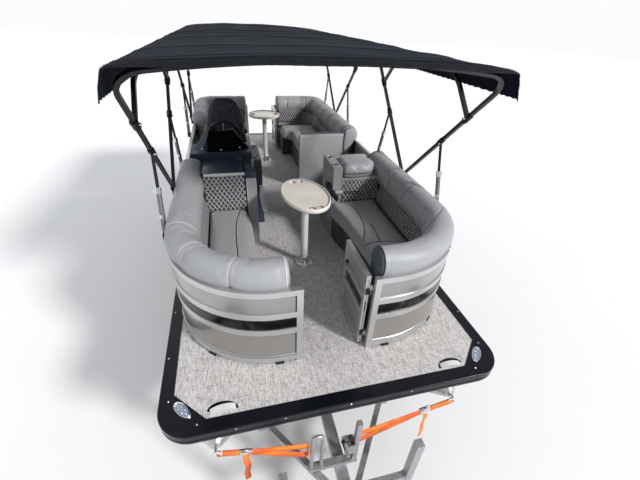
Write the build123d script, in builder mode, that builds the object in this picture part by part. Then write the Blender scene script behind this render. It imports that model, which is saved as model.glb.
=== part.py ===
"""A pontoon boat with two folding tops, standing on its tandem trailer.

Millimetres. X points to the boat's port side, Y points aft, Z points up.
The origin lies on the ground, in the middle of the overall box.
"""
import os
from math import cos, hypot, radians, sin, sqrt

from build123d import *

os.makedirs("parts", exist_ok=True)

SIDES = (("port", 1), ("starboard", -1))

# Overall places
deck_top = 1400
deck_length = 6300
deck_width = 2500
bow_reach = 1450
stern_reach = 250
overall_length = bow_reach + deck_length + stern_reach
bow_edge = bow_reach - overall_length / 2
seat_gap = 0.3

# Deck
board_thickness = 22
floor_thickness = 3
trim_flange = 95
trim_wall = 30
trim_lip = 4
trim_drop = 92
deck_corner_radius = 220
corner_cap = 212
half_deck = deck_width / 2
stern_edge = bow_edge + deck_length
deck_mid = (bow_edge + stern_edge) / 2
board_bottom = deck_top - floor_thickness - board_thickness

# Floats and the frame that carries the deck
float_radius = 310
float_x = half_deck - 320
float_z = 940
float_start = 110
float_end = deck_length - 20
float_nose_length = 900
float_nose_rise = 80
float_tip_radius = 40
beam_height = 75
beam_width = 60
beam_pitch = 440
beam_count = 14
beam_start = 300
riser_width = 200
riser_wall = 8
riser_drop = 34
beam_bottom = board_bottom - beam_height

# Stern bracket for an engine, with no engine on it
pod_half_width = 330
pod_start = deck_length - 1000
pod_bottom = 820
transom_rake = 12
transom_thickness = 50
transom_top = 1270
transom_bottom = 820
transom_bolt_radius = 6.6
transom_bolt_rows = ((327, 40), (251, 243))

# Fence: rails, panels and posts
fence_half_width = half_deck - 90
fence_front = 411
fence_stern = deck_length - 520
fence_corner_radius = 750
fence_stern_radius = 350
fence_depth = 38
panel_inset = 8
panel_thickness = 5
rail_bands = ((20, 70), (310, 360), (460, 510), (655, 700))
panel_bands = ((70, 310), (510, 655))
stripe_band = (360, 460)
post_width = 45
post_depth = 24
side_posts = (1500, 2250, 4050, 4850)
pad_height = 20
front_opening = 254
stern_opening = 254
side_gate_start = 2550
side_gate_end = 3350

# Gates
leaf_thickness = 32
leaf_stile = 40
leaf_offset = 12
leaf_end_gap = 2
leaf_far_gap = 27.5
leaf_clearance = 10.5
leaf_bottom = 30
knuckle_radius = 8
hinge_pin_radius = 4
hinge_running_gap = 0.3
knuckle_height = 36
knuckle_heights = (120, 580)
lug_thickness = 6
lug_radius = 7

# Lounges
roll_inset = -6
roll_width = 245
roll_bottom = 703
roll_top = 860
roll_round = 60
pad_back_inset = 46
pad_back_width = 175
seat_bottom = 300
seat_top = 450
seat_round = 30
base_set_in = 45
lounge_front = 450
front_roll_depth = 180
front_lounge_end = 2060
front_back_end = 2500
back_inner = 410
arm_width = 100
arm_top = 840
back_top = 850
cup_radius = 40
cup_depth = 70
roll_end_port = 285
roll_end_starboard = 340
aft_lounge_start = 3450
aft_port_aisle = 430
aft_port_inner = 285
aft_starboard_start = 4500
aft_starboard_inner = 290
aft_back_start = fence_stern - 580
soft_gap = 4
face_depth = 45
shelf_top = 835
shelf_round = 12
headrest_bottom = 715
headrest_depth = 340
headrest_round = 28

# Helm
console_front = 2504
console_rear = 3050
console_outer = fence_half_width - 110
console_inner = 310
console_height = 900
console_shelf = 800
console_shelf_width = 100
hood_start = 205
hood_depth = 150
hood_half = 190
hood_rise = 55
screen_height = 160
screen_thickness = 6
wheel_radius = 180
wheel_tube = 14
wheel_x = 690
wheel_height = 920
wheel_lean = 25
wheel_reach = 90
spoke_width = 26
spoke_depth = 7
hub_radius = 42
hub_depth = 15
column_radius = 34
column_length = 265
chair_x = 670
chair_y = 3720
chair_seat_top = 640
chair_width = 500
chair_depth = 480

# Pedestals and tables
pedestal_radius = 35
flange_radius = 95
flange_height = 12
table_thickness = 36
table_top = 800
front_table = (5, 1606)
front_table_half = (347, 215)
front_table_turn = 97.8
rear_table = (-50, 4640)
rear_table_radius = 250

# Folding tops
top_pivots = (2000, 4700)
bow_tube = 28
pivot_height = 750
bow_reach_along = 1170
bow_rise = 1235
inner_bow_reach = 500
inner_bow_branch = 830
bow_half_width = fence_half_width + 27
bow_crown = 90
shoulder_radius = 230
brace_foot = 740
brace_head = 560
brace_radius = 12
sleeve_radius = 17
sleeve_share = 0.55
jaw_half = 32
mount_half = 15
mount_length = 40
canopy_half_length = 1215
canopy_thickness = 8
canopy_half_width = bow_half_width + 48
canopy_hem = 1785

# Trailer
tyre_radius = 263
tyre_width = 190
rim_radius = 166
rim_width = 150
track_half = half_deck - 165
axle_mid = 3750
axle_spacing = 620
hub_bore = 30
rail_x = 600
rail_width = 60
rail_top = 500
rail_height = 110
rail_start = 480
rail_end = deck_length - 300
cross_half = half_deck - 130
cross_places = (510, 1700, 2900, 4600, 5300, rail_end - 60)
cross_height = 70
cross_width = 60
tail_reach = 120
tail_half = half_deck - 190
lamp_length = 220
tongue_size = 90
tongue_end = -1240
brace_end = -240
brace_start = 520
front_bar = -190
upright_x = 500
upright_top = 1020
bunk_angle = 29
bunk_width = 120
bunk_thickness = 45
bunk_start = 1000
bunk_end = deck_length - 200
jack_place = -800
jack_x = 130


def aft(distance):
    """A place along Y, given as a distance aft of the deck's front edge."""
    return bow_edge + distance


def up(height):
    """A height over the ground, given as a height over the deck."""
    return deck_top + height


def mirrored(sign, low, high):
    """An X span on one side of the boat."""
    return (low, high) if sign > 0 else (-high, -low)


def block(x_span, y_span, z_span, mode=Mode.ADD):
    """A plain block between two X, two Y and two Z places."""
    centre = [(low + high) / 2 for low, high in (x_span, y_span, z_span)]
    size = [abs(high - low) for low, high in (x_span, y_span, z_span)]
    with Locations(tuple(centre)):
        Box(*size, mode=mode)


def bar(start, end, width, depth=None, mode=Mode.ADD):
    """A straight bar from start to end: width lies level, depth is across it."""
    run = Vector(*end) - Vector(*start)
    level = Vector(0, 0, 1).cross(run)
    if level.length < 1e-6:
        level = Vector(1, 0, 0)
    with BuildSketch(Plane(origin=start, x_dir=level, z_dir=run)) as section:
        Rectangle(width, depth or width)
    extrude(section.sketch, amount=run.length, mode=mode)


def rod(start, end, radius, mode=Mode.ADD):
    """A round bar from start to end."""
    run = Vector(*end) - Vector(*start)
    with BuildSketch(Plane(origin=start, z_dir=run)) as section:
        Circle(radius)
    extrude(section.sketch, amount=run.length, mode=mode)


def slab(points, bottom, top, mode=Mode.ADD):
    """A level slab over a polygon of (x, y) points."""
    with BuildSketch(Plane.XY.offset(bottom)) as outline:
        with BuildLine():
            Polyline(*points, close=True)
        make_face()
    extrude(outline.sketch, amount=top - bottom, mode=mode)


def side_profile(points, x_low, x_high, mode=Mode.ADD):
    """A polygon of (y, z) points, given a width along X."""
    with BuildSketch(Plane.YZ.offset(x_low)) as outline:
        with BuildLine():
            Polyline(*points, close=True)
        make_face()
    extrude(outline.sketch, amount=x_high - x_low, mode=mode)


def deck_plan(inset, radius):
    """The deck's outline in plan, a given distance inside its edge."""
    with BuildSketch() as plan:
        with Locations((0, deck_mid)):
            RectangleRounded(deck_width - 2 * inset, deck_length - 2 * inset, radius)
    return plan.sketch


def fence_plan(inset, front_radius=fence_corner_radius, stern_radius=fence_stern_radius):
    """The fence's outline in plan, a given distance inside its outer face."""
    front, stern = aft(fence_front) + inset, aft(fence_stern) - inset
    with BuildSketch() as plan:
        with Locations((0, (front + stern) / 2)):
            Rectangle(2 * (fence_half_width - inset), stern - front)
        fillet(plan.vertices().group_by(Axis.Y)[0], front_radius - inset)
        fillet(plan.vertices().group_by(Axis.Y)[-1], stern_radius - inset)
    return plan.sketch


def fence_band(outer, inner, bottom, top):
    """A band that follows the fence all round, between two insets and two heights over the deck."""
    with BuildSketch(Plane.XY.offset(up(bottom))) as ring:
        add(fence_plan(outer))
        add(fence_plan(inner), mode=Mode.SUBTRACT)
    extrude(ring.sketch, amount=top - bottom)


def finish(piece, name):
    """Labels a piece and writes its file."""
    piece.part.label = name
    export_step(piece.part, f"parts/{name}.step")


# Floats: a tube with a nose that narrows and rises, a keel strip and a tow eye
nose_sections = (
    # share of the nose's length from its tip, share of the full radius
    (0.0, float_tip_radius / float_radius),
    (0.12, 0.42),
    (0.35, 0.70),
    (0.65, 0.91),
    (1.0, 1.0),
)
eye_radius = 9
eye_plate = 12
eye_height = 44
eye_reach = 26
keel_width = 40
keel_drop = 22
strake_angle = 62
strake_reach = 34
strake_spread = 0.13

for side, sign in SIDES:
    with BuildPart() as pontoon:
        for share, fullness in nose_sections:
            radius = float_radius * fullness
            centre_z = float_z + float_nose_rise * (1 - fullness) / (1 - nose_sections[0][1])
            place = aft(float_start + share * float_nose_length)
            with BuildSketch(Plane(origin=(sign * float_x, place, centre_z), z_dir=(0, 1, 0))):
                Circle(radius)
        loft(ruled=True)
        rod(
            (sign * float_x, aft(float_start + float_nose_length), float_z),
            (sign * float_x, aft(float_end), float_z),
            float_radius,
        )
        straight = (aft(float_start + float_nose_length), aft(float_end))
        block(
            (sign * float_x - keel_width / 2, sign * float_x + keel_width / 2),
            straight,
            (float_z - float_radius - keel_drop, float_z - float_radius + keel_drop),
        )
        for edge in (-1, 1):
            turn = radians(strake_angle)
            reach = float_radius + strake_reach
            x, z = sign * float_x + edge * reach * sin(turn), float_z - reach * cos(turn)
            root = float_radius - 4
            feet = [
                (sign * float_x + edge * root * sin(turn + half), float_z - root * cos(turn + half))
                for half in (-strake_spread, strake_spread)
            ]
            with BuildSketch(Plane.XZ.offset(-straight[0])) as strake:
                with BuildLine():
                    Polyline(feet[0], (x, z), feet[1], close=True)
                make_face()
            extrude(strake.sketch, amount=straight[0] - straight[1])
        eye_z = float_z + float_nose_rise
        block(
            (sign * float_x - eye_plate / 2, sign * float_x + eye_plate / 2),
            (aft(float_start - eye_reach) - eye_height / 2, aft(float_start) + eye_plate),
            (eye_z - eye_height / 2, eye_z + eye_height / 2),
        )
        rod(
            (sign * float_x - eye_plate, aft(float_start - eye_reach), eye_z),
            (sign * float_x + eye_plate, aft(float_start - eye_reach), eye_z),
            eye_radius,
            mode=Mode.SUBTRACT,
        )
    finish(pontoon, f"pontoon_{side}")

# Deck frame: closed cross beams on risers that ride along each float
saddle_bottom = float_z + float_radius - riser_drop
beam_half = half_deck - trim_wall - 20
riser_end = beam_start + (beam_count - 1) * beam_pitch + beam_width
with BuildPart() as deck_frame:
    for index in range(beam_count):
        place = aft(beam_start + index * beam_pitch)
        block((-beam_half, beam_half), (place, place + beam_width), (beam_bottom, board_bottom))
    for sign in (1, -1):
        for edge in (-1, 1):
            middle = sign * float_x + edge * (riser_width - riser_wall) / 2
            block(
                (middle - riser_wall / 2, middle + riser_wall / 2),
                (aft(beam_start), aft(riser_end)),
                (saddle_bottom, beam_bottom - seat_gap),
            )
        rod(
            (sign * float_x, aft(beam_start) - 1, float_z),
            (sign * float_x, stern_edge, float_z),
            float_radius + seat_gap,
            mode=Mode.SUBTRACT,
        )
finish(deck_frame, "deck_frame")

# Engine bracket between the floats, its raked transom drilled for an engine
rake = radians(transom_rake)
transom_aft = aft(deck_length + stern_reach)
with BuildPart() as engine_bracket:
    side_profile(
        (
            (aft(pod_start), beam_bottom),
            (aft(pod_start + 250), pod_bottom + 120),
            (aft(deck_length), pod_bottom),
            (aft(deck_length), beam_bottom),
        ),
        -pod_half_width,
        pod_half_width,
    )
    foot = transom_aft - transom_thickness / cos(rake)
    shift = (transom_top - transom_bottom) * sin(rake) / cos(rake)
    side_profile(
        (
            (transom_aft - shift, transom_bottom),
            (transom_aft, transom_top),
            (foot, transom_top),
            (foot - shift, transom_bottom),
        ),
        -pod_half_width,
        pod_half_width,
    )
    for sign in (1, -1):
        side_profile(
            (
                (aft(deck_length) - 1, pod_bottom),
                (foot - shift + 1, transom_bottom),
                (foot + 1, transom_top),
                (aft(deck_length) - 1, board_bottom - beam_height - 20),
            ),
            sign * (pod_half_width - 12),
            sign * pod_half_width,
        )
    block(
        (-pod_half_width, pod_half_width),
        (aft(deck_length) - 1, foot - shift + 2),
        (pod_bottom, pod_bottom + 40),
    )
    for spacing, drop in transom_bolt_rows:
        for sign in (1, -1):
            hole_z = transom_top - drop * cos(rake)
            hole_y = transom_aft - drop * sin(rake)
            rod(
                (sign * spacing / 2, hole_y + 30 * cos(rake), hole_z - 30 * sin(rake)),
                (sign * spacing / 2, hole_y - 80 * cos(rake), hole_z + 80 * sin(rake)),
                transom_bolt_radius,
                mode=Mode.SUBTRACT,
            )
finish(engine_bracket, "engine_bracket")

# Deck board, floor and the black edge trim
with BuildPart() as deck_board:
    with BuildSketch(Plane.XY.offset(board_bottom)):
        add(deck_plan(trim_wall, deck_corner_radius - trim_wall))
    extrude(amount=board_thickness)
finish(deck_board, "deck_board")

with BuildPart() as deck_floor:
    with BuildSketch(Plane.XY.offset(deck_top - floor_thickness)):
        add(deck_plan(trim_wall, deck_corner_radius - trim_wall))
    extrude(amount=floor_thickness)
finish(deck_floor, "deck_floor")

trim_ridges = (
    # bottom and top under the deck's surface, how far the face is set in
    (trim_drop, 74, 7),
    (74, 56, 0),
    (56, 47, 9),
    (47, 0, 0),
)
with BuildPart() as deck_trim:
    for bottom, top, inset in trim_ridges:
        with BuildSketch(Plane.XY.offset(deck_top - bottom)):
            add(deck_plan(inset, deck_corner_radius - inset))
        extrude(amount=bottom - top + (trim_lip if top == 0 else 0))
    fillet(deck_trim.edges().group_by(Axis.Z)[-1], trim_lip + 4)
    with BuildSketch(Plane.XY.offset(deck_top - trim_drop - 1)):
        add(deck_plan(trim_wall, deck_corner_radius - trim_wall))
    extrude(amount=trim_drop + 1, mode=Mode.SUBTRACT)
    window = half_deck - trim_flange
    front, stern = bow_edge + trim_flange, stern_edge - trim_flange
    slab(
        (
            (-window, front + corner_cap),
            (-window + corner_cap, front),
            (window - corner_cap, front),
            (window, front + corner_cap),
            (window, stern - corner_cap),
            (window - corner_cap, stern),
            (-window + corner_cap, stern),
            (-window, stern - corner_cap),
        ),
        deck_top - 2,
        deck_top + 2 * trim_lip,
        mode=Mode.SUBTRACT,
    )
finish(deck_trim, "deck_trim")

# Oval lamps in the front corner caps
lamp_x = half_deck - 155
lamp_places = ((-lamp_x, 185, 131), (lamp_x, 170, 49))
lamp_half = (62, 38)
lamp_height = 12
with BuildPart() as deck_lamps:
    for x, y, turn in lamp_places:
        with BuildSketch(Plane.XY.offset(deck_top + trim_lip)):
            with Locations(Location((x, aft(y), 0), turn)):
                Ellipse(*lamp_half)
        extrude(amount=lamp_height, taper=35)
finish(deck_lamps, "deck_lamps")

# Folding cleats near the front corners and at the stern
cleat_x = half_deck - 410
cleat_stern = deck_length - 180
cleat_places = (
    # x, distance aft, turn
    (-cleat_x, 118, 4),
    (cleat_x, 105, -4),
    (-cleat_x, cleat_stern, 0),
    (cleat_x, cleat_stern, 0),
)
cleat_half = 82
cleat_depth = 40
cleat_height = 30
cleat_base = 6
cleat_hole = 5
cleat_holes = 7
cleat_hole_pitch = 18
with BuildPart() as cleats:
    for x, y, turn in cleat_places:
        angle = radians(turn)
        front_face = Plane(
            origin=(x, aft(y) + cleat_depth, deck_top),
            x_dir=(cos(angle), sin(angle), 0),
            z_dir=(sin(angle), -cos(angle), 0),
        )
        with BuildSketch(front_face) as cleat_face:
            with BuildLine():
                arc = ThreePointArc((-cleat_half, cleat_base), (0, cleat_height), (cleat_half, cleat_base))
                Polyline(arc @ 1, (cleat_half, 0), (-cleat_half, 0), arc @ 0)
            make_face()
            with Locations((0, cleat_height * 0.42)):
                with GridLocations(cleat_hole_pitch, 1, cleat_holes, 1):
                    Circle(cleat_hole, mode=Mode.SUBTRACT)
        extrude(cleat_face.sketch, amount=cleat_depth)
finish(cleats, "cleats")

# Fence rails, posts and feet on each side, hinge lugs for the gates
leaf_axis_x = front_opening - leaf_clearance
front_axis = (leaf_axis_x, fence_front + fence_depth - 3 + leaf_offset)
stern_axis = (leaf_axis_x, fence_stern - fence_depth + 3 - leaf_offset)
side_axis = (fence_half_width - fence_depth + 3 - leaf_offset, side_gate_start + leaf_clearance)


def hinge_lug(axis, post_corners):
    """Two lugs with pins on a post, each a round eye joined to the post's corners."""
    x, y = axis[0], aft(axis[1])
    for height in knuckle_heights:
        bottom = up(height) - lug_thickness - seat_gap
        with BuildSketch(Plane.XY.offset(bottom)) as lug:
            with Locations((x, y)):
                Circle(lug_radius)
            with BuildLine():
                Polyline(*post_corners, close=True)
            make_face()
        extrude(lug.sketch, amount=lug_thickness)
        rod((x, y, bottom), (x, y, up(height) + knuckle_height), hinge_pin_radius)


fence_span = (up(0), up(rail_bands[-1][1] + 100))
post_span = (up(0), up(rail_bands[-1][1]))
end_gates = (
    # half the opening, outer face of the fence, way inward along Y, hinge axis
    (front_opening, fence_front, 1, front_axis),
    (stern_opening, fence_stern, -1, stern_axis),
)
for side, sign in SIDES:
    posts = side_posts + (side_gate_start, side_gate_end) if sign < 0 else side_posts
    with BuildPart() as fence:
        for bottom, top in rail_bands:
            fence_band(0, fence_depth, bottom, top)
        block(mirrored(-sign, 0, half_deck), (bow_edge, stern_edge), fence_span, mode=Mode.SUBTRACT)
        for opening, face, inward, axis in end_gates:
            post = sorted((aft(face), aft(face + inward * fence_depth)))
            cut = (post[0] - 1, post[1] + 1)
            block(mirrored(sign, 0, opening), cut, fence_span, mode=Mode.SUBTRACT)
            block(mirrored(sign, opening, opening + post_width), post, post_span)
        for y in posts:
            inner = fence_half_width - fence_depth
            block(mirrored(sign, inner, inner + post_depth), (aft(y), aft(y) + post_width), post_span)
        if sign > 0:
            outer_span = (fence_half_width - fence_depth, fence_half_width)
            way = (aft(side_gate_start), aft(side_gate_end))
            block((outer_span[0] - 1, outer_span[1] + 1), way, fence_span, mode=Mode.SUBTRACT)
            for low in (side_gate_start - post_width, side_gate_end):
                y_span = (aft(low), aft(low) + post_width)
                foot = up(trim_lip + 1)
                block(outer_span, y_span, (foot, post_span[1]))
                block((outer_span[0], half_deck - trim_flange - 2), y_span, (deck_top, foot))
            for opening, face, inward, axis in end_gates:
                x, y = axis[0], aft(axis[1])
                back = aft(face + inward * fence_depth)
                hinge_lug(
                    axis,
                    (
                        (x - 2, y - inward * 6),
                        (opening, back),
                        (opening + 20, back),
                        (opening + 20, y + inward * 7),
                        (x, y + inward * 7),
                    ),
                )
            x, y = side_axis[0], aft(side_axis[1])
            edge = way[0]
            hinge_lug(
                side_axis,
                (
                    (x + 6, y + 2),
                    (outer_span[0], edge),
                    (outer_span[0], edge - 20),
                    (x - 7, edge - 20),
                    (x - 7, y),
                ),
            )
    finish(fence, f"fence_{side}")

# Grey panels and the black stripe that runs round between the middle rails
openings = (
    ((-front_opening - post_width, front_opening + post_width), (fence_front - 1, fence_front + 60)),
    ((-stern_opening - post_width, stern_opening + post_width), (fence_stern - 60, fence_stern + 1)),
)


def cut_openings():
    """Takes the three gate openings, with their posts, out of a fence band."""
    for x_span, (low, high) in openings:
        block(x_span, (aft(low), aft(high)), (up(0), up(800)), mode=Mode.SUBTRACT)
    block(
        (fence_half_width - 60, fence_half_width + 1),
        (aft(side_gate_start) - post_width, aft(side_gate_end) + post_width),
        (up(0), up(800)),
        mode=Mode.SUBTRACT,
    )


with BuildPart() as fence_panels:
    for bottom, top in panel_bands:
        fence_band(panel_inset, panel_inset + panel_thickness, bottom, top)
    cut_openings()
finish(fence_panels, "fence_panels")

with BuildPart() as fence_stripe:
    fence_band(panel_inset, panel_inset + panel_thickness, *stripe_band)
    cut_openings()
finish(fence_stripe, "fence_stripe")


# Gates: each leaf lies along Y at rest, hinged at one end
def gate_leaf(axis, direction, near_side, length):
    """One leaf along Y from its hinge, with stiles, rails, plates and two hinge knuckles."""
    x, y = axis[0], aft(axis[1])
    far = x + near_side * (leaf_offset + leaf_thickness)
    near = x + near_side * leaf_offset
    span = (min(near, far), max(near, far))
    start = y + direction * leaf_end_gap
    end = start + direction * length
    for edge in (start, end - direction * leaf_stile):
        y_span = sorted((edge, edge + direction * leaf_stile))
        block(span, y_span, (up(leaf_bottom), up(rail_bands[-1][1])))
    inner = sorted((start + direction * leaf_stile, end - direction * leaf_stile))
    for bottom, top in rail_bands:
        block(span, inner, (up(max(bottom, leaf_bottom)), up(top)))
    plate = ((near + far) / 2 - panel_thickness / 2, (near + far) / 2 + panel_thickness / 2)
    block(plate, inner, (up(rail_bands[0][1]), up(rail_bands[-1][0])))
    for height in knuckle_heights:
        tab = sorted((x, near + near_side * 1))
        block(tab, (y - lug_radius, y + lug_radius), (up(height), up(height) + knuckle_height))
        rod((x, y, up(height)), (x, y, up(height) + knuckle_height), knuckle_radius)
    for height in knuckle_heights:
        rod(
            (x, y, up(height) - 1),
            (x, y, up(height) + knuckle_height + 1),
            hinge_pin_radius + hinge_running_gap,
            mode=Mode.SUBTRACT,
        )


end_leaf_clearance = leaf_clearance + leaf_end_gap + leaf_far_gap
with BuildPart() as front_gate:
    gate_leaf(front_axis, 1, -1, 2 * front_opening - end_leaf_clearance)
finish(front_gate, "front_gate")

with BuildPart() as stern_gate:
    gate_leaf(stern_axis, -1, -1, 2 * stern_opening - end_leaf_clearance)
finish(stern_gate, "stern_gate")

side_leaf_length = side_gate_end - side_gate_start - 2 * leaf_clearance - leaf_end_gap
with BuildPart() as side_gate:
    gate_leaf(side_axis, 1, 1, side_leaf_length)
finish(side_gate, "side_gate")

# Lounges: a closed base, a seat, and a roll on a padded back along the fence
fence_inner = fence_half_width - fence_depth


def round_region(inset, limits):
    """The part of the fence's plan inside an inset that lies in given X and Y limits."""
    with BuildSketch() as region:
        add(fence_plan(inset))
        (x0, x1), (y0, y1) = limits
        with Locations(((x0 + x1) / 2, (aft(y0) + aft(y1)) / 2)):
            Rectangle(x1 - x0, y1 - y0, mode=Mode.INTERSECT)
    return region.sketch


def cushion_region(outer, inner, limits, bottom, top):
    """A band of padding along the fence, cut to X and Y limits."""
    with BuildSketch(Plane.XY.offset(up(bottom))) as band:
        add(round_region(outer, limits))
        add(fence_plan(inner), mode=Mode.SUBTRACT)
    extrude(band.sketch, amount=top - bottom)


aisle_edges = {
    # distance from the middle, distance aft
    "port": ((500, 560), (490, 1000), (476, 1290), (441, 1700), (385, 1950), (382, 2060)),
    "starboard": ((500, 560), (495, 1000), (498, 1200), (477, 1680), (505, 1880), (525, 2060)),
}


def aisle_side(sign, edge, shift):
    """The plan on the aisle side of a seat's edge, moved outboard by a shift."""
    points = [(sign * (x + shift), aft(y)) for x, y in edge]
    with BuildSketch() as region:
        with BuildLine():
            Polyline((0, points[0][1] - 300), (points[0][0], points[0][1] - 300), *points)
            Polyline(points[-1], (points[-1][0], points[-1][1] + 10), (0, points[-1][1] + 10))
            Line((0, points[-1][1] + 10), (0, points[0][1] - 300))
        make_face()
    return region.sketch


base_inset = fence_depth + soft_gap
roll_ends = {"port": roll_end_port, "starboard": roll_end_starboard}
for side, sign in SIDES:
    inner_end = roll_ends[side]
    outer = fence_half_width + 50
    with BuildPart() as lounge_base:
        with BuildSketch(Plane.XY.offset(deck_top)):
            add(round_region(base_inset, (mirrored(sign, inner_end + 30, outer), (0, front_lounge_end))))
            base_edge = aisle_edges[side][1:]
            add(aisle_side(sign, base_edge, base_set_in), mode=Mode.SUBTRACT)
        extrude(amount=seat_bottom)
    finish(lounge_base, f"lounge_base_front_{side}")

    with BuildPart() as lounge_seat:
        seat_limits = (
            mirrored(sign, back_inner - 40, outer),
            (lounge_front + front_roll_depth + 6, front_lounge_end - seat_gap),
        )
        with BuildSketch(Plane.XY.offset(up(seat_bottom))):
            add(round_region(pad_back_inset + pad_back_width + soft_gap, seat_limits))
            add(aisle_side(sign, aisle_edges[side], 0), mode=Mode.SUBTRACT)
        extrude(amount=seat_top - seat_bottom)
        fillet(lounge_seat.edges().group_by(Axis.Z)[-1], seat_round)
    finish(lounge_seat, f"lounge_seat_front_{side}")

    roll_limits = (mirrored(sign, inner_end, outer), (0, front_back_end))
    with BuildPart() as lounge_roll:
        cushion_region(roll_inset, roll_width + roll_inset, roll_limits, roll_bottom, roll_top)
        fillet(lounge_roll.edges().group_by(Axis.Z)[-1], roll_round)
        cushion_region(
            pad_back_inset,
            pad_back_inset + pad_back_width,
            (mirrored(sign, inner_end, outer), (0, front_lounge_end)),
            seat_bottom,
            roll_bottom,
        )
    finish(lounge_roll, f"lounge_roll_front_{side}")

    with BuildPart() as lounge_back:
        inner_face = fence_half_width - roll_width - roll_inset - soft_gap
        x_span = mirrored(sign, back_inner + arm_width + soft_gap, inner_face)
        padded = side == "port"
        shelf_start = front_lounge_end + (headrest_depth + soft_gap if padded else face_depth)
        block(x_span, (aft(shelf_start), aft(front_back_end)), (up(0), up(shelf_top)))
        fillet(lounge_back.edges().group_by(Axis.Z)[-1].filter_by(Axis.X), shelf_round)
        face_top = headrest_bottom if padded else back_top
        y_span = (aft(front_lounge_end), aft(front_lounge_end + face_depth))
        block(x_span, y_span, (up(seat_bottom + seat_gap), up(face_top)))
        if padded:
            y_span = (aft(front_lounge_end + face_depth), aft(shelf_start))
            block(x_span, y_span, (up(0), up(headrest_bottom)))
            middle = aft(front_lounge_end + headrest_depth / 2)
            half = headrest_depth / 2
            with BuildSketch(Plane.XY.offset(up(headrest_bottom))) as headrest:
                with BuildLine():
                    Line((x_span[0] + 15, middle - half), (x_span[1] - half, middle - half))
                    ThreePointArc(
                        (x_span[1] - half, middle - half), (x_span[1], middle), (x_span[1] - half, middle + half)
                    )
                    Line((x_span[1] - half, middle + half), (x_span[0] + 15, middle + half))
                    Line((x_span[0] + 15, middle + half), (x_span[0] + 15, middle - half))
                make_face()
            extrude(headrest.sketch, amount=back_top - headrest_bottom)
            fillet(lounge_back.edges().group_by(Axis.Z)[-1], headrest_round)
    finish(lounge_back, f"lounge_back_front_{side}")

# Arm columns with cup holders beside the backrests
arm_table = (
    # side sign, places of the cup holders along Y
    (1, (2170, 2400)),
    (-1, (2230,)),
)
with BuildPart() as arm_columns:
    for sign, cups in arm_table:
        x_span = mirrored(sign, back_inner, back_inner + arm_width)
        block(x_span, (aft(front_lounge_end), aft(front_back_end)), (up(0), up(arm_top)))
        for y in cups:
            rod(
                (sum(x_span) / 2, aft(y), up(arm_top - cup_depth)),
                (sum(x_span) / 2, aft(y), up(arm_top) + 1),
                cup_radius,
                mode=Mode.SUBTRACT,
            )
finish(arm_columns, "arm_columns")

# Aft lounges: an L on the port side, a bench on the starboard side
aft_table = (
    # name, side sign, front of the base, aisle edge, inner end of the stern part
    ("port", 1, aft_lounge_start, aft_port_aisle, aft_port_inner),
    ("starboard", -1, aft_starboard_start, aft_starboard_inner, aft_starboard_inner),
)
for side, sign, start, aisle, inner_end in aft_table:
    outer = fence_half_width + 50
    stern = fence_stern + 50
    with BuildPart() as lounge_base:
        with BuildSketch(Plane.XY.offset(deck_top)):
            add(round_region(base_inset, (mirrored(sign, inner_end, outer), (start, stern))))
            x_span = mirrored(sign, 0, aisle + 10)
            with Locations((sum(x_span) / 2, aft(start + (aft_back_start - 300 - start) / 2) - 1)):
                Rectangle(x_span[1] - x_span[0], aft_back_start - 300 - start + 2, mode=Mode.SUBTRACT)
        extrude(amount=seat_bottom)
        if side == "port":
            block(mirrored(sign, 340, fence_inner - soft_gap), (aft(start), aft(start) + 60), (up(0), up(back_top - 50)))
    finish(lounge_base, f"lounge_base_aft_{side}")

    seat_start = start + 64 if side == "port" else start + 4
    with BuildPart() as lounge_seat:
        with BuildSketch(Plane.XY.offset(up(seat_bottom))):
            limits = (mirrored(sign, inner_end, outer), (seat_start, aft_back_start))
            add(round_region(pad_back_inset + pad_back_width + soft_gap, limits))
            x_span = mirrored(sign, 0, aisle)
            with Locations((sum(x_span) / 2, aft(start + (aft_back_start - 350 - start) / 2) - 1)):
                Rectangle(x_span[1] - x_span[0], aft_back_start - 350 - start + 2, mode=Mode.SUBTRACT)
        extrude(amount=seat_top - seat_bottom)
        fillet(lounge_seat.edges().group_by(Axis.Z)[-1], seat_round)
    finish(lounge_seat, f"lounge_seat_aft_{side}")

    with BuildPart() as lounge_roll:
        limits = (mirrored(sign, inner_end, outer), (seat_start, stern))
        cushion_region(roll_inset, roll_width + roll_inset, limits, roll_bottom, roll_top)
        fillet(lounge_roll.edges().group_by(Axis.Z)[-1], roll_round)
        cushion_region(pad_back_inset, pad_back_inset + pad_back_width, limits, seat_bottom, roll_bottom)
        with BuildSketch(Plane.XY.offset(up(seat_bottom))):
            back_limits = (mirrored(sign, inner_end, outer), (aft_back_start + soft_gap, stern))
            add(round_region(pad_back_inset + pad_back_width / 2, back_limits))
        extrude(amount=back_top - roll_round - seat_bottom)
    finish(lounge_roll, f"lounge_roll_aft_{side}")

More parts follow.
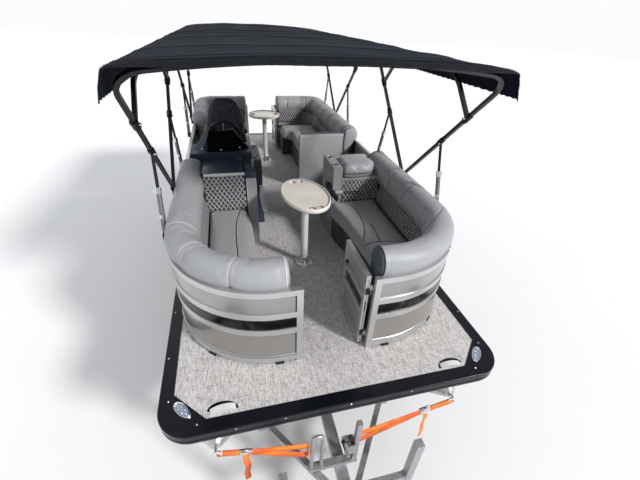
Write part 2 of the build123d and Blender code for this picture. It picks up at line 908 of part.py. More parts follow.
# Helm console with a side shelf and the boss that carries the steering wheel
lean = radians(wheel_lean)
wheel_centre = Vector(-wheel_x, aft(console_rear + wheel_reach), up(wheel_height))
wheel_axis = Vector(0, cos(lean), sin(lean))
with BuildPart() as helm_console:
    side_profile(
        (
            (aft(console_front), up(0)),
            (aft(console_front), up(console_height)),
            (aft(console_front + 340), up(console_height)),
            (aft(console_rear - 40), up(console_height - 90)),
            (aft(console_rear), up(console_height - 260)),
            (aft(console_rear), up(0)),
        ),
        -console_outer,
        -console_inner - console_shelf_width,
    )
    block(
        (-console_inner - console_shelf_width, -console_inner),
        (aft(console_front), aft(console_rear)),
        (up(0), up(console_shelf)),
    )
    with BuildSketch(Plane.XZ.offset(-aft(console_front + hood_start))) as hood:
        with BuildLine():
            arc = ThreePointArc(
                (-wheel_x - hood_half, up(console_height)),
                (-wheel_x, up(console_height + hood_rise)),
                (-wheel_x + hood_half, up(console_height)),
            )
            Polyline(arc @ 1, (-wheel_x + hood_half, up(console_height - 60)),
                     (-wheel_x - hood_half, up(console_height - 60)), arc @ 0)
        make_face()
    extrude(hood.sketch, amount=-hood_depth)
    rod(
        tuple(wheel_centre - wheel_axis * column_length),
        tuple(wheel_centre - wheel_axis * (hub_depth + seat_gap)),
        column_radius,
    )
finish(helm_console, "helm_console")

screen_table = (
    # height over the console, half width, bulge forward of the chord, setback
    (0, 300, 120, 0),
    (screen_height, 150, 60, 190),
)
screen_mid = -(console_outer + console_inner + console_shelf_width) / 2


def screen_sections(inset):
    """The screen's foot and head in plan, a given distance inside its outer face."""
    faces = []
    for height, half_width, bulge, setback in screen_table:
        base_y = aft(console_front + 150 + setback)
        with BuildSketch(Plane.XY.offset(up(console_height + height))) as section:
            with BuildLine():
                arc = ThreePointArc(
                    (screen_mid - half_width + inset, base_y),
                    (screen_mid, base_y - bulge + inset),
                    (screen_mid + half_width - inset, base_y),
                )
                Polyline(arc @ 1, arc @ 1 + (0, inset), arc @ 0 + (0, inset), arc @ 0)
            make_face()
        faces.append(section.sketch.face())
    return faces


with BuildPart() as windscreen:
    loft(screen_sections(1), ruled=True)
    loft(screen_sections(screen_thickness), ruled=True, mode=Mode.SUBTRACT)
finish(windscreen, "windscreen")

wheel_plane = Plane(origin=wheel_centre, x_dir=(1, 0, 0), z_dir=wheel_axis)
with BuildPart() as steering_wheel:
    with BuildSketch(wheel_plane):
        Circle(wheel_radius + wheel_tube)
        Circle(wheel_radius - wheel_tube, mode=Mode.SUBTRACT)
    extrude(amount=wheel_tube, both=True)
    fillet(steering_wheel.edges().filter_by(GeomType.CIRCLE), wheel_tube - 2)
    with BuildSketch(wheel_plane):
        with PolarLocations(wheel_radius / 2, 3, start_angle=90):
            Rectangle(wheel_radius, spoke_width)
    extrude(amount=spoke_depth, both=True)
    with BuildSketch(wheel_plane):
        Circle(hub_radius)
    extrude(amount=hub_depth, both=True)
finish(steering_wheel, "steering_wheel")

# Posts on deck flanges for the two tables and the helm chair
post_table = (
    # x, y, tube radius, height
    (front_table[0], front_table[1], pedestal_radius, table_top - table_thickness),
    (rear_table[0], rear_table[1], pedestal_radius, table_top - table_thickness),
    (-chair_x, chair_y, 55, chair_seat_top - 190),
)
with BuildPart() as pedestals:
    for x, y, radius, height in post_table:
        rod((x, aft(y), up(0)), (x, aft(y), up(height)), radius)
        with BuildSketch(Plane.XY.offset(deck_top)) as flange:
            with Locations((x, aft(y))):
                Circle(flange_radius if radius < 50 else 2 * flange_radius)
        extrude(amount=flange_height)
finish(pedestals, "pedestals")

table_rim = 22
rim_height = 5
recess_radius = 27
recess_depth = 9
recess_inset = 62
front_recesses = (-36, 36)


def table_top_solid(outline, inner, recesses):
    """A moulded top: a slab with rounded edges, sunk inside its rim, with round recesses in it."""
    with BuildSketch(Plane.XY.offset(up(table_top - table_thickness))) as slab_plan:
        add(outline)
    extrude(slab_plan.sketch, amount=table_thickness)
    with BuildSketch(Plane.XY.offset(up(table_top - rim_height))) as sunk:
        add(inner)
    extrude(sunk.sketch, amount=rim_height + 1, mode=Mode.SUBTRACT)
    for x, y in recesses:
        rod((x, y, up(table_top - recess_depth)), (x, y, up(table_top + 1)), recess_radius, mode=Mode.SUBTRACT)


def oval(centre, half, turn):
    """An ellipse in plan."""
    with BuildSketch() as plan:
        with Locations(Location((centre[0], aft(centre[1]), 0), turn)):
            Ellipse(*half)
    return plan.sketch


turn = radians(front_table_turn)
front_spots = []
for way in (-1, 1):
    for side_step in front_recesses:
        along = way * (front_table_half[0] - recess_inset)
        front_spots.append(
            (
                front_table[0] + along * cos(turn) - side_step * sin(turn),
                aft(front_table[1]) + along * sin(turn) + side_step * cos(turn),
            )
        )
with BuildPart() as table_front:
    inner_half = [size - table_rim for size in front_table_half]
    table_top_solid(
        oval(front_table, front_table_half, front_table_turn),
        oval(front_table, inner_half, front_table_turn),
        front_spots,
    )
    fillet(table_front.edges().group_by(Axis.Z)[-1], 2)
    fillet(table_front.edges().group_by(Axis.Z)[0], 8)
finish(table_front, "table_front")

with BuildPart() as table_rear:
    spread = rear_table_radius - recess_inset
    table_top_solid(
        oval(rear_table, (rear_table_radius, rear_table_radius - 1), 0),
        oval(rear_table, (rear_table_radius - table_rim, rear_table_radius - table_rim - 1), 0),
        [(rear_table[0] + sx * spread, aft(rear_table[1]) + sy * 36) for sx in (-1, 1) for sy in (-1, 1)],
    )
    fillet(table_rear.edges().group_by(Axis.Z)[-1], 2)
    fillet(table_rear.edges().group_by(Axis.Z)[0], 8)
finish(table_rear, "table_rear")

# Helm chair: turns on its post, its back narrowing to a round head
back_lean = 9
back_thickness = 105
back_outline = (
    # half width, height up the back
    (205, 0),
    (235, 130),
    (238, 330),
    (195, 520),
    (120, 610),
)
arm_length = 330
arm_half = 34
arm_pad = 62
seat_plate = 60
with BuildPart() as helm_chair:
    seat_bottom_z = up(chair_seat_top - 190 + seat_gap)
    rod((-chair_x, aft(chair_y), seat_bottom_z), (-chair_x, aft(chair_y), seat_bottom_z + seat_plate), 120)
    half = chair_width / 2
    front = aft(chair_y) - chair_depth / 2
    rear = aft(chair_y) + chair_depth / 2
    with BuildSketch(Plane.XY.offset(seat_bottom_z + seat_plate - 10)) as seat_plan:
        with Locations((-chair_x, (front + rear - 60) / 2)):
            RectangleRounded(chair_width - 50, rear - 60 - front, 70)
    extrude(seat_plan.sketch, amount=up(chair_seat_top) - seat_bottom_z - seat_plate + 10)
    fillet(helm_chair.edges().group_by(Axis.Z)[-1], 30)
    lean = radians(back_lean)
    back_plane = Plane(
        origin=(-chair_x, rear - 120, seat_bottom_z + seat_plate + 20),
        x_dir=(1, 0, 0),
        z_dir=(0, -cos(lean), sin(lean)),
    )
    with BuildSketch(back_plane) as back_face:
        with BuildLine():
            right = [(x, y) for x, y in back_outline]
            left = [(-x, y) for x, y in reversed(back_outline)]
            Polyline(*right, *left, close=True)
        make_face()
        fillet(back_face.vertices(), 45)
    extrude(back_face.sketch, amount=-back_thickness)
    for sign in (1, -1):
        x = -chair_x + sign * half
        with BuildSketch(Plane.XY.offset(up(chair_seat_top + 150))) as pad_plan:
            with Locations((x, front + 60 + arm_length / 2)):
                RectangleRounded(2 * arm_half, arm_length, arm_half - 1)
        extrude(pad_plan.sketch, amount=arm_pad)
        x_span = (x - arm_half + 8, x + arm_half - 12)
        y_span = (rear - 150, rear - 95)
        block(x_span, y_span, (up(chair_seat_top - 60), up(chair_seat_top + 152)))
        block(
            sorted((x, x - sign * 2 * arm_half)), y_span, (up(chair_seat_top - 60), up(chair_seat_top - 20))
        )
finish(helm_chair, "helm_chair")

# Folding tops: two main bows on one pivot, two inner bows, braces and the cloth
shoulder_rise = bow_rise - bow_crown
main_length = hypot(bow_reach_along, shoulder_rise)
tube_top = pivot_height + bow_rise


def folding_bow(foot_y, foot_z, head_y, half_width):
    """A bow of square tube that rises from two feet to a level head with a low crown."""
    rise = Vector(0, head_y - foot_y, up(tube_top - bow_crown) - foot_z)
    slope = rise.normalized()
    bow_plane = Plane(origin=(0, foot_y, foot_z), x_dir=(1, 0, 0), z_dir=Vector(1, 0, 0).cross(slope))
    height = rise.length
    crown = bow_crown * height / rise.Z
    with BuildLine(bow_plane) as path:
        Line((-half_width, 0), (-half_width, height))
        ThreePointArc((-half_width, height), (0, height + crown), (half_width, height))
        Line((half_width, height), (half_width, 0))
        corners = [v for v in path.vertices() if (Vector(v) - bow_plane.origin).length > height / 2]
        fillet(corners, shoulder_radius)
    with BuildSketch(Plane(origin=path.line @ 0, x_dir=(1, 0, 0), z_dir=path.line % 0)) as section:
        Rectangle(bow_tube, bow_tube)
    sweep(section.sketch, path=path.line)


for name, pivot in zip(("front", "rear"), top_pivots):
    with BuildPart() as top_frame:
        centre = aft(pivot)
        for direction in (-1, 1):
            slope_y, slope_z = bow_reach_along / main_length, shoulder_rise / main_length
            head = centre + direction * bow_reach_along
            folding_bow(centre, up(pivot_height), head, bow_half_width)
            branch_z = up(pivot_height + inner_bow_branch * slope_z / slope_y)
            branch_y = centre + direction * inner_bow_branch
            folding_bow(branch_y, branch_z, centre + direction * inner_bow_reach, bow_half_width)
            for sign in (1, -1):
                x = sign * bow_half_width
                rod(
                    (x, centre + direction * brace_foot, up(rail_bands[-1][1])),
                    (
                        x,
                        centre + direction * brace_head,
                        up(pivot_height + brace_head * slope_z / slope_y),
                    ),
                    brace_radius,
                )
                brace_low = Vector(x, centre + direction * brace_foot, up(rail_bands[-1][1]))
                brace_high = Vector(
                    x, centre + direction * brace_head, up(pivot_height + brace_head * slope_z / slope_y)
                )
                sleeve_end = brace_low + (brace_high - brace_low) * sleeve_share
                rod(tuple(brace_low), tuple(sleeve_end), sleeve_radius)
                jaw = Vector(x, branch_y, branch_z)
                way = Vector(0, direction * slope_y, slope_z) * jaw_half
                bar(tuple(jaw - way), tuple(jaw + way), bow_tube + 8)
                foot_y = centre + direction * brace_foot
                block(
                    mirrored(sign, fence_half_width, bow_half_width + mount_half),
                    (foot_y - mount_length / 2, foot_y + mount_length / 2),
                    (up(rail_bands[-1][0]), up(rail_bands[-1][1])),
                )
        for sign in (1, -1):
            block(
                mirrored(sign, fence_half_width, bow_half_width + mount_half),
                (centre - mount_length, centre + mount_length),
                (up(rail_bands[-1][0]), up(rail_bands[-1][1])),
            )
            block(
                mirrored(sign, bow_half_width - mount_half, bow_half_width + mount_half),
                (centre - mount_length, centre + mount_length),
                (up(rail_bands[-1][1]), up(pivot_height)),
            )
    finish(top_frame, f"top_frame_{name}")

    with BuildPart() as canopy:
        shoulder = up(tube_top - bow_crown) + bow_tube / sqrt(2) + seat_gap
        wall = canopy_thickness
        edge, hem = canopy_half_width, up(canopy_hem)
        with BuildSketch(Plane.XZ.offset(-(aft(pivot) - canopy_half_length))):
            with BuildLine():
                ThreePointArc((-bow_half_width, shoulder), (0, shoulder + bow_crown), (bow_half_width, shoulder))
                Polyline(
                    (bow_half_width, shoulder),
                    (edge - wall, hem),
                    (edge, hem),
                    (bow_half_width + wall, shoulder + wall),
                )
                ThreePointArc(
                    (bow_half_width + wall, shoulder + wall),
                    (0, shoulder + bow_crown + wall),
                    (-bow_half_width - wall, shoulder + wall),
                )
                Polyline(
                    (-bow_half_width - wall, shoulder + wall),
                    (-edge, hem),
                    (-edge + wall, hem),
                    (-bow_half_width, shoulder),
                )
            make_face()
        extrude(amount=-2 * canopy_half_length)
    finish(canopy, f"canopy_{name}")

# Trailer: rails, cross members on them, and the drawbar with its braces, front bar and uprights
tongue_z = rail_top - tongue_size / 2
hub_z = tyre_radius
rail_inner = rail_x - rail_width / 2
cross_top = rail_top + seat_gap + cross_height
with BuildPart() as trailer_frame:
    for y in cross_places:
        block((-cross_half, cross_half), (aft(y), aft(y) + cross_width), (cross_top - cross_height, cross_top))
    block(
        (-tongue_size / 2, tongue_size / 2),
        (aft(tongue_end), aft(cross_places[2]) + cross_width),
        (rail_top - tongue_size, rail_top),
    )
    for sign in (1, -1):
        bar((sign * rail_inner, aft(brace_start), tongue_z), (sign * 30, aft(brace_end), tongue_z), 50, 60)
        block(
            mirrored(sign, rail_inner - seat_gap, rail_x + rail_width),
            (aft(rail_start) - cross_width, aft(rail_end)),
            (rail_top - tongue_size, rail_top),
            mode=Mode.SUBTRACT,
        )
        x_span = mirrored(sign, rail_inner, rail_inner + rail_width)
        block(x_span, (aft(rail_start), aft(rail_end)), (rail_top - rail_height, rail_top))
        block(
            mirrored(sign, 0, upright_x),
            (aft(front_bar) - 25, aft(front_bar) + 25),
            (rail_top, rail_top + 50),
        )
        block(
            mirrored(sign, upright_x - 30, upright_x + 30),
            (aft(front_bar) - 30, aft(front_bar) + 30),
            (rail_top - 60, upright_top),
        )
    for sign in (1, -1):
        block(
            mirrored(sign, rail_inner, rail_inner + rail_width),
            (aft(rail_end) + seat_gap, aft(rail_end) + seat_gap + tail_reach),
            (rail_top - 60, rail_top),
        )
        block(
            mirrored(sign, tail_half - lamp_length, tail_half),
            (aft(rail_end) + tail_reach + 40, aft(rail_end) + tail_reach + 85),
            (rail_top - 70, rail_top + 50),
        )
    block(
        (-tail_half, tail_half),
        (aft(rail_end) + seat_gap + tail_reach, aft(rail_end) + tail_reach + 41),
        (rail_top - 60, rail_top),
    )
finish(trailer_frame, "trailer_frame")

# Bunks under each float, on brackets from the cross members
tilt = radians(bunk_angle)
bunk_radius = float_radius + seat_gap + bunk_thickness / 2
with BuildPart() as trailer_bunks:
    for sign in (1, -1):
        for edge in (-1, 1):
            x = sign * float_x + edge * bunk_radius * sin(tilt)
            z = float_z - bunk_radius * cos(tilt)
            outward = Vector(edge * sin(tilt), 0, -cos(tilt))
            plane = Plane(origin=(x, aft(bunk_start), z), x_dir=Vector(0, 1, 0).cross(outward), z_dir=(0, 1, 0))
            with BuildSketch(plane):
                Rectangle(bunk_width, bunk_thickness)
            extrude(amount=bunk_end - bunk_start)
            low = bunk_radius + bunk_thickness / 2
            for y in cross_places:
                centre_x = sign * float_x + edge * low * sin(tilt)
                centre_z = float_z - low * cos(tilt)
                rise = 22 * sin(tilt) / cos(tilt) * edge
                with BuildSketch(Plane.XZ.offset(-(aft(y) + 5))):
                    with BuildLine():
                        Polyline(
                            (centre_x - 22, cross_top + seat_gap),
                            (centre_x + 22, cross_top + seat_gap),
                            (centre_x + 22, centre_z + rise - 2 * seat_gap),
                            (centre_x - 22, centre_z - rise - 2 * seat_gap),
                            close=True,
                        )
                    make_face()
                extrude(amount=-50)
finish(trailer_bunks, "trailer_bunks")

# Axles: a square beam under the rails, trailing arms and stub shafts
axle_places = (axle_mid - axle_spacing / 2, axle_mid + axle_spacing / 2)
arm_lead = 120
axle_beam = 70
axle_z = rail_top - rail_height - axle_beam / 2
arm_x = track_half - 160
with BuildPart() as trailer_axles:
    for y in axle_places:
        block((-arm_x + 20, arm_x - 20), (aft(y) - arm_lead - 35, aft(y) - arm_lead + 35),
              (axle_z - axle_beam / 2, axle_z + axle_beam / 2))
        for sign in (1, -1):
            x = sign * arm_x
            bar((x, aft(y) - arm_lead - 20, axle_z), (x, aft(y) + 20, hub_z - 20), 40, 60)
            rod((x, aft(y), hub_z), (sign * (track_half + 40), aft(y), hub_z), hub_bore - seat_gap)
            rod((x, aft(y), hub_z), (sign * (track_half - 60), aft(y), hub_z), 60)
finish(trailer_axles, "trailer_axles")

# Wheels
for side, sign in SIDES:
    for end, y in zip(("front", "rear"), axle_places):
        hub = Plane(origin=(sign * track_half, aft(y), hub_z), x_dir=(0, 1, 0), z_dir=(sign, 0, 0))
        with BuildPart() as tyre:
            with BuildSketch(Plane(origin=hub.origin, x_dir=(sign, 0, 0), z_dir=(0, 1, 0) if sign > 0 else (0, -1, 0))):
                with BuildLine():
                    Polyline(
                        (-rim_width / 2, rim_radius),
                        (-tyre_width / 2, rim_radius + 35),
                        (-tyre_width / 2 + 6, tyre_radius - 22),
                        (-tyre_width / 2 + 26, tyre_radius - 4),
                        (-tyre_width / 2 + 50, tyre_radius),
                        (tyre_width / 2 - 50, tyre_radius),
                        (tyre_width / 2 - 26, tyre_radius - 4),
                        (tyre_width / 2 - 6, tyre_radius - 22),
                        (tyre_width / 2, rim_radius + 35),
                        (rim_width / 2, rim_radius),
                        close=True,
                    )
                make_face()
            revolve(axis=Axis(hub.origin, (1, 0, 0)))
        finish(tyre, f"tyre_{end}_{side}")

        with BuildPart() as rim:
            with BuildSketch(hub.offset(-rim_width / 2)):
                Circle(rim_radius - seat_gap)
                Circle(rim_radius - 14, mode=Mode.SUBTRACT)
            extrude(amount=rim_width)
            with BuildSketch(hub.offset(20)):
                Circle(rim_radius - 10)
                Circle(hub_bore, mode=Mode.SUBTRACT)
                with PolarLocations(110, 8):
                    Circle(20, mode=Mode.SUBTRACT)
            extrude(amount=12)
            with BuildSketch(hub.offset(-55)):
                Circle(62)
                Circle(hub_bore, mode=Mode.SUBTRACT)
            extrude(amount=80)
        finish(rim, f"rim_{end}_{side}")

# Mudguards over each pair of wheels, on arms from the frame
guard_gap = 42
guard_radius = tyre_radius + guard_gap
guard_wall = 3
guard_half = 120
arm_offset = 0.83 * guard_radius
with BuildPart() as mudguards:
    for sign in (1, -1):
        x_low = sign * (track_half + 5) - guard_half
        for radius, mode, over in ((guard_radius + guard_wall, Mode.ADD, 0), (guard_radius, Mode.SUBTRACT, 1)):
            with BuildSketch(Plane.YZ.offset(x_low - over)) as arch:
                with BuildLine():
                    Polyline(
                        (aft(axle_places[0]) - radius, hub_z - 20 - over),
                        (aft(axle_places[0]) - radius, hub_z + radius * 0.45),
                        (aft(axle_places[0]) - radius * 0.6, hub_z + radius),
                        (aft(axle_places[1]) + radius * 0.6, hub_z + radius),
                        (aft(axle_places[1]) + radius, hub_z + radius * 0.45),
                        (aft(axle_places[1]) + radius, hub_z - 20 - over),
                        close=True,
                    )
                make_face()
            extrude(arch.sketch, amount=2 * guard_half + 2 * over, mode=mode)
        for place in (axle_places[0] - arm_offset, axle_places[1] + arm_offset):
            x_span = mirrored(sign, rail_x + rail_width / 2, track_half - guard_half + 20)
            y_span = (aft(place) - 20, aft(place) + 20)
            block(x_span, y_span, (rail_top - 40, rail_top))
finish(mudguards, "mudguards")

# Winch stand across the tongue: a square post, a round hoop and the bar they stand on
stand_y = 30
stand_top = 1050
stand_bar = 60
post_x = 115
post_size = 40
hoop_x = (-245, -165)
hoop_top = 985
hoop_tube = 15
winch_drop = 640
winch_half = 45
winch_plate = 4
winch_reach = 90
winch_size = 110
crank_gap = 12
crank_arm = 150
with BuildPart() as winch_stand:
    block(
        (hoop_x[0] - hoop_tube - 10, post_x + post_size / 2),
        (aft(stand_y) - stand_bar / 2, aft(stand_y) + stand_bar / 2),
        (rail_top, rail_top + 40),
    )
    block(
        (post_x - post_size / 2, post_x + post_size / 2),
        (aft(stand_y) - post_size / 2, aft(stand_y) + post_size / 2),
        (rail_top, stand_top),
    )
    drum_mid = up(0) - winch_drop
    for x in (-winch_half, winch_half - winch_plate):
        low = post_x - post_size / 2 - winch_reach
        block(
            (low, post_x - post_size / 2),
            (aft(stand_y) + x, aft(stand_y) + x + winch_plate),
            (drum_mid - winch_size / 2, drum_mid + winch_size / 2),
        )
    block(
        (post_x - post_size / 2 - winch_plate, post_x - post_size / 2),
        (aft(stand_y) - winch_half, aft(stand_y) + winch_half),
        (drum_mid - winch_size / 2, drum_mid + winch_size / 2),
    )
    drum_x = post_x - post_size / 2 - winch_reach / 2
    rod((drum_x, aft(stand_y) - winch_half, drum_mid), (drum_x, aft(stand_y) + winch_half, drum_mid), 30)
    crank_y = aft(stand_y) - winch_half - crank_gap
    rod((drum_x, crank_y - 12, drum_mid), (drum_x, aft(stand_y), drum_mid), 9)
    bar((drum_x, crank_y - 6, drum_mid), (drum_x - 60, crank_y - 6, drum_mid + crank_arm), 10, 24)
    rod((drum_x - 60, crank_y - 90, drum_mid + crank_arm), (drum_x - 60, crank_y, drum_mid + crank_arm), 13)
    hoop_radius = (hoop_x[1] - hoop_x[0]) / 2
    with BuildLine(Plane.XZ.offset(-aft(stand_y))) as hoop_path:
        Line((hoop_x[0], rail_top + 30), (hoop_x[0], hoop_top - hoop_radius))
        ThreePointArc(
            (hoop_x[0], hoop_top - hoop_radius),
            (hoop_x[0] + hoop_radius, hoop_top),
            (hoop_x[1], hoop_top - hoop_radius),
        )
        Line((hoop_x[1], hoop_top - hoop_radius), (hoop_x[1], rail_top + 30))
    with BuildSketch(Plane(origin=hoop_path.line @ 0, z_dir=hoop_path.line % 0)) as hoop_section:
        Circle(hoop_tube)
    sweep(hoop_section.sketch, path=hoop_path.line)
finish(winch_stand, "winch_stand")

# Coupling head at the tongue's end
with BuildPart() as coupling:
    block((-35, 35), (aft(tongue_end) - 60, aft(tongue_end)), (tongue_z - 30, tongue_z + 30))
    side_profile(
        (
            (aft(tongue_end) - 50, tongue_z - 35),
            (aft(tongue_end) - 50, tongue_z + 35),
            (aft(-bow_reach) + 40, tongue_z + 25),
            (aft(-bow_reach), tongue_z),
            (aft(-bow_reach), tongue_z - 50),
            (aft(-bow_reach) + 70, tongue_z - 50),
        ),
        -40,
        40,
    )
    with Locations((0, aft(-bow_reach) + 42, tongue_z - 50)):
        Sphere(25.5, mode=Mode.SUBTRACT)
finish(coupling, "coupling")

# Jack: a clamped outer tube, and an inner tube with its foot that winds up and down
jack_outer = 32
jack_top = 820
jack_inner = 25
jack_foot_radius = 85
with BuildPart() as jack_sleeve:
    rod((jack_x, aft(jack_place), 200), (jack_x, aft(jack_place), jack_top), jack_outer)
    block((tongue_size / 2, jack_x), (aft(jack_place) - 30, aft(jack_place) + 30), (rail_top - tongue_size, rail_top))
    rod((jack_x, aft(jack_place), 190), (jack_x, aft(jack_place), 700), jack_inner + hinge_running_gap, mode=Mode.SUBTRACT)
    rod((jack_x, aft(jack_place), jack_top - 1), (jack_x, aft(jack_place), jack_top + 25), 12)
    bar((jack_x, aft(jack_place), jack_top + 20), (jack_x, aft(jack_place) - 130, jack_top + 20), 22, 10)
    rod((jack_x, aft(jack_place) - 125, jack_top + 16), (jack_x, aft(jack_place) - 125, jack_top + 110), 12)
finish(jack_sleeve, "jack_sleeve")

with BuildPart() as jack_foot:
    rod((jack_x, aft(jack_place), 5), (jack_x, aft(jack_place), 420), jack_inner)
    rod((jack_x, aft(jack_place), 0), (jack_x, aft(jack_place), 12), jack_foot_radius)
finish(jack_foot, "jack_foot")

# Tie straps from the floats' eyes to the winch stand
strap_width = 35
strap_thickness = 4
strap_fall = 240
strap_ends = (
    # side sign, where the strap meets the winch stand
    (1, post_x + post_size / 2 + seat_gap),
    (-1, hoop_tube - hoop_x[0] + seat_gap),
)
strap_z = float_z + float_nose_rise
with BuildPart() as tie_straps:
    for sign, reach in strap_ends:
        ends = (
            (sign * (float_x - eye_plate / 2 - seat_gap), aft(float_start - eye_reach), strap_z),
            (sign * reach, aft(stand_y), strap_z - strap_fall),
        )
        faces = []
        for end in ends:
            with BuildSketch(Plane(origin=end, x_dir=(0, 1, 0), z_dir=(1, 0, 0))) as strap_end:
                Rectangle(strap_thickness, strap_width)
            faces.append(strap_end.sketch.face())
        loft(faces, ruled=True)
finish(tie_straps, "tie_straps")
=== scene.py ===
from math import atan2, cos, exp, hypot, pi, radians, sin, sqrt, tau

import bmesh
import bpy
import numpy as np
from bpy.props import FloatProperty, FloatVectorProperty, PointerProperty
from mathutils import Matrix, Vector
from mathutils.bvhtree import BVHTree


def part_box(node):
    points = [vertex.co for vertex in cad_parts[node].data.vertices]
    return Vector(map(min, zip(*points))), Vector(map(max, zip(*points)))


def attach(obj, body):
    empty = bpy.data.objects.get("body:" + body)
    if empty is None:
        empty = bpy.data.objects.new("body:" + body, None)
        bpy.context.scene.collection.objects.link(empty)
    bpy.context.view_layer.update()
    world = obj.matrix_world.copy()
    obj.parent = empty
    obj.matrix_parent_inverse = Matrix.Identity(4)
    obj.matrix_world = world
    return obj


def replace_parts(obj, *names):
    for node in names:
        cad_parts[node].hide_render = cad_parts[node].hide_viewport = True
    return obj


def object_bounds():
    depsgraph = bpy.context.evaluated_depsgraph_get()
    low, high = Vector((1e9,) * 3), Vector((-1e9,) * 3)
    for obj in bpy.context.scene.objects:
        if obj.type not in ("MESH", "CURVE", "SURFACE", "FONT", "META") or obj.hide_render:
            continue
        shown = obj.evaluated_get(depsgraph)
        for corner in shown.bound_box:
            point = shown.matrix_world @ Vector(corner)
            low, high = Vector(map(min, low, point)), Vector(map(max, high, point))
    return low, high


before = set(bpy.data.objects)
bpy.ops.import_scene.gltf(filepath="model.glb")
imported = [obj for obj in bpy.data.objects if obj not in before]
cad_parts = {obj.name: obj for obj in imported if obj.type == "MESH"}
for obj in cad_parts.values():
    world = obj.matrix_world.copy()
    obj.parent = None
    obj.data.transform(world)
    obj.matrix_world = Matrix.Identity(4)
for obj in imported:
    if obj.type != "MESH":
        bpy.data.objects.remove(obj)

bl_info = {
    "name": "Pontoon boat on its trailer",
    "version": (1, 0, 0),
    "blender": (4, 5, 0),
    "location": "3D View > Sidebar > Pontoon boat",
    "description": "Dresses the packed pontoon boat with its cushions, cloth tops, fittings and finishes",
    "category": "Object",
}

CAD_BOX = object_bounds()
HOME = "boat_and_trailer"
SIDES = (("port", 1), ("starboard", -1))
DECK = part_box("deck_floor")[1].z
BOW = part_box("deck_trim")[0].y
HALF_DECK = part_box("deck_trim")[1].x
FENCE_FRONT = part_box("fence_panels")[0].y - 0.008 - BOW
FENCE_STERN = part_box("fence_panels")[1].y + 0.008 - BOW
FENCE_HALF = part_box("fence_panels")[1].x + 0.008
FRONT_RADIUS = 0.75
STERN_RADIUS = 0.35
QUILT_SLANT = 0.66
SHARP = radians(38)
PORTWARD = Vector((1, 0, 0))
# Heights over the deck, and plan places on it, in metres to port and aft of its front edge
GROUND = -1.4
SEAT_FOOT, SEAT_TOP = 0.303, 0.447
DECK_LENGTH = 6.3
BACKREST = 2.05
TABLES = ((0.005, 1.606), (-0.05, 4.64))
CHAIR_POST = (-0.67, 3.72)
# The tops' main bows: how far along the boat and how high they reach from their feet, and the feet's height
BOW_REACH, BOW_RISE, BOW_FOOT = 1.17, 1.145, 0.75


def at(x, y, z):
    """A place in the frame from metres to port, aft of the deck's front edge and over the deck."""
    return Vector((x, BOW + y, DECK + z))


def on_road(x, y, z):
    """A place in the frame from metres to port, aft of the deck's front edge and over the road."""
    return at(x, y, GROUND + z)


def turned_at(middle, turn, u, v, z):
    """A place over the deck, from u and v in plan turned about a middle."""
    return at(
        middle[0] + u * cos(turn) - v * sin(turn), middle[1] + u * sin(turn) + v * cos(turn), z
    )


# Sizes and colours a user may change
def length(name, text, value):
    """A length property in metres."""
    return FloatProperty(name=name, description=text, default=value, min=0.0, unit="LENGTH", precision=4)


def colour(name, text, value):
    """A colour property."""
    return FloatVectorProperty(
        name=name, description=text, default=value, min=0.0, max=1.0, size=3, subtype="COLOR"
    )


class BoatSizes(bpy.types.PropertyGroup):
    """Sizes of the dressed pieces, in metres."""

    seam_depth: length("Seam depth", "How far a seam pulls the cushion in", 0.006)
    seam_width: length("Seam width", "Half width of the dip along a seam", 0.011)
    piping_radius: length("Piping radius", "Radius of the welt along a cushion's end", 0.0045)
    quilt_pitch: length("Quilt pitch", "Width of one stitched diamond", 0.044)
    cushion_swell: length("Cushion swell", "Most that the padding may bulge", 0.012)
    canopy_sag: length("Canopy sag", "How far the cloth dips between two bows", 0.016)
    hem_width: length("Hem width", "Width of the cloth top's stitched hem", 0.055)
    screw_radius: length("Screw radius", "Radius of a trim screw's head", 0.0065)
    strap_width: length("Strap width", "Width of the tie straps' webbing", 0.046)


class BoatColours(bpy.types.PropertyGroup):
    """Base colours of the finishes."""

    vinyl: colour("Vinyl", "Grey cushion vinyl", (0.345, 0.350, 0.358))
    quilt: colour("Quilt", "Charcoal vinyl of the quilted panels", (0.060, 0.056, 0.064))
    thread: colour("Thread", "Stitching and welts", (0.66, 0.62, 0.65))
    charcoal: colour("Charcoal", "Moulded seat bases", (0.055, 0.06, 0.072))
    rail: colour("Rail", "Satin fence rails", (0.62, 0.62, 0.62))
    panel: colour("Panel", "Metallic fence panels", (0.37, 0.355, 0.34))
    floor: colour("Floor", "Light threads of the woven floor", (0.66, 0.635, 0.615))
    floor_dark: colour("Floor dark", "Dark threads of the woven floor", (0.235, 0.215, 0.21))
    trim: colour("Trim", "Black deck edge", (0.004, 0.005, 0.008))
    canvas: colour("Canvas", "Black cloth tops", (0.0045, 0.0062, 0.0125))
    cream: colour("Cream", "Moulded table tops", (0.86, 0.80, 0.72))
    # The console's gel coat is really dark; its blue tint is a painted sky reflection.
    gel: colour("Gel coat", "Dark helm console", (0.024, 0.034, 0.058))
    zinc: colour("Zinc", "Galvanised steel", (0.46, 0.47, 0.48))
    orange: colour("Orange", "Tie straps", (0.95, 0.14, 0.02))


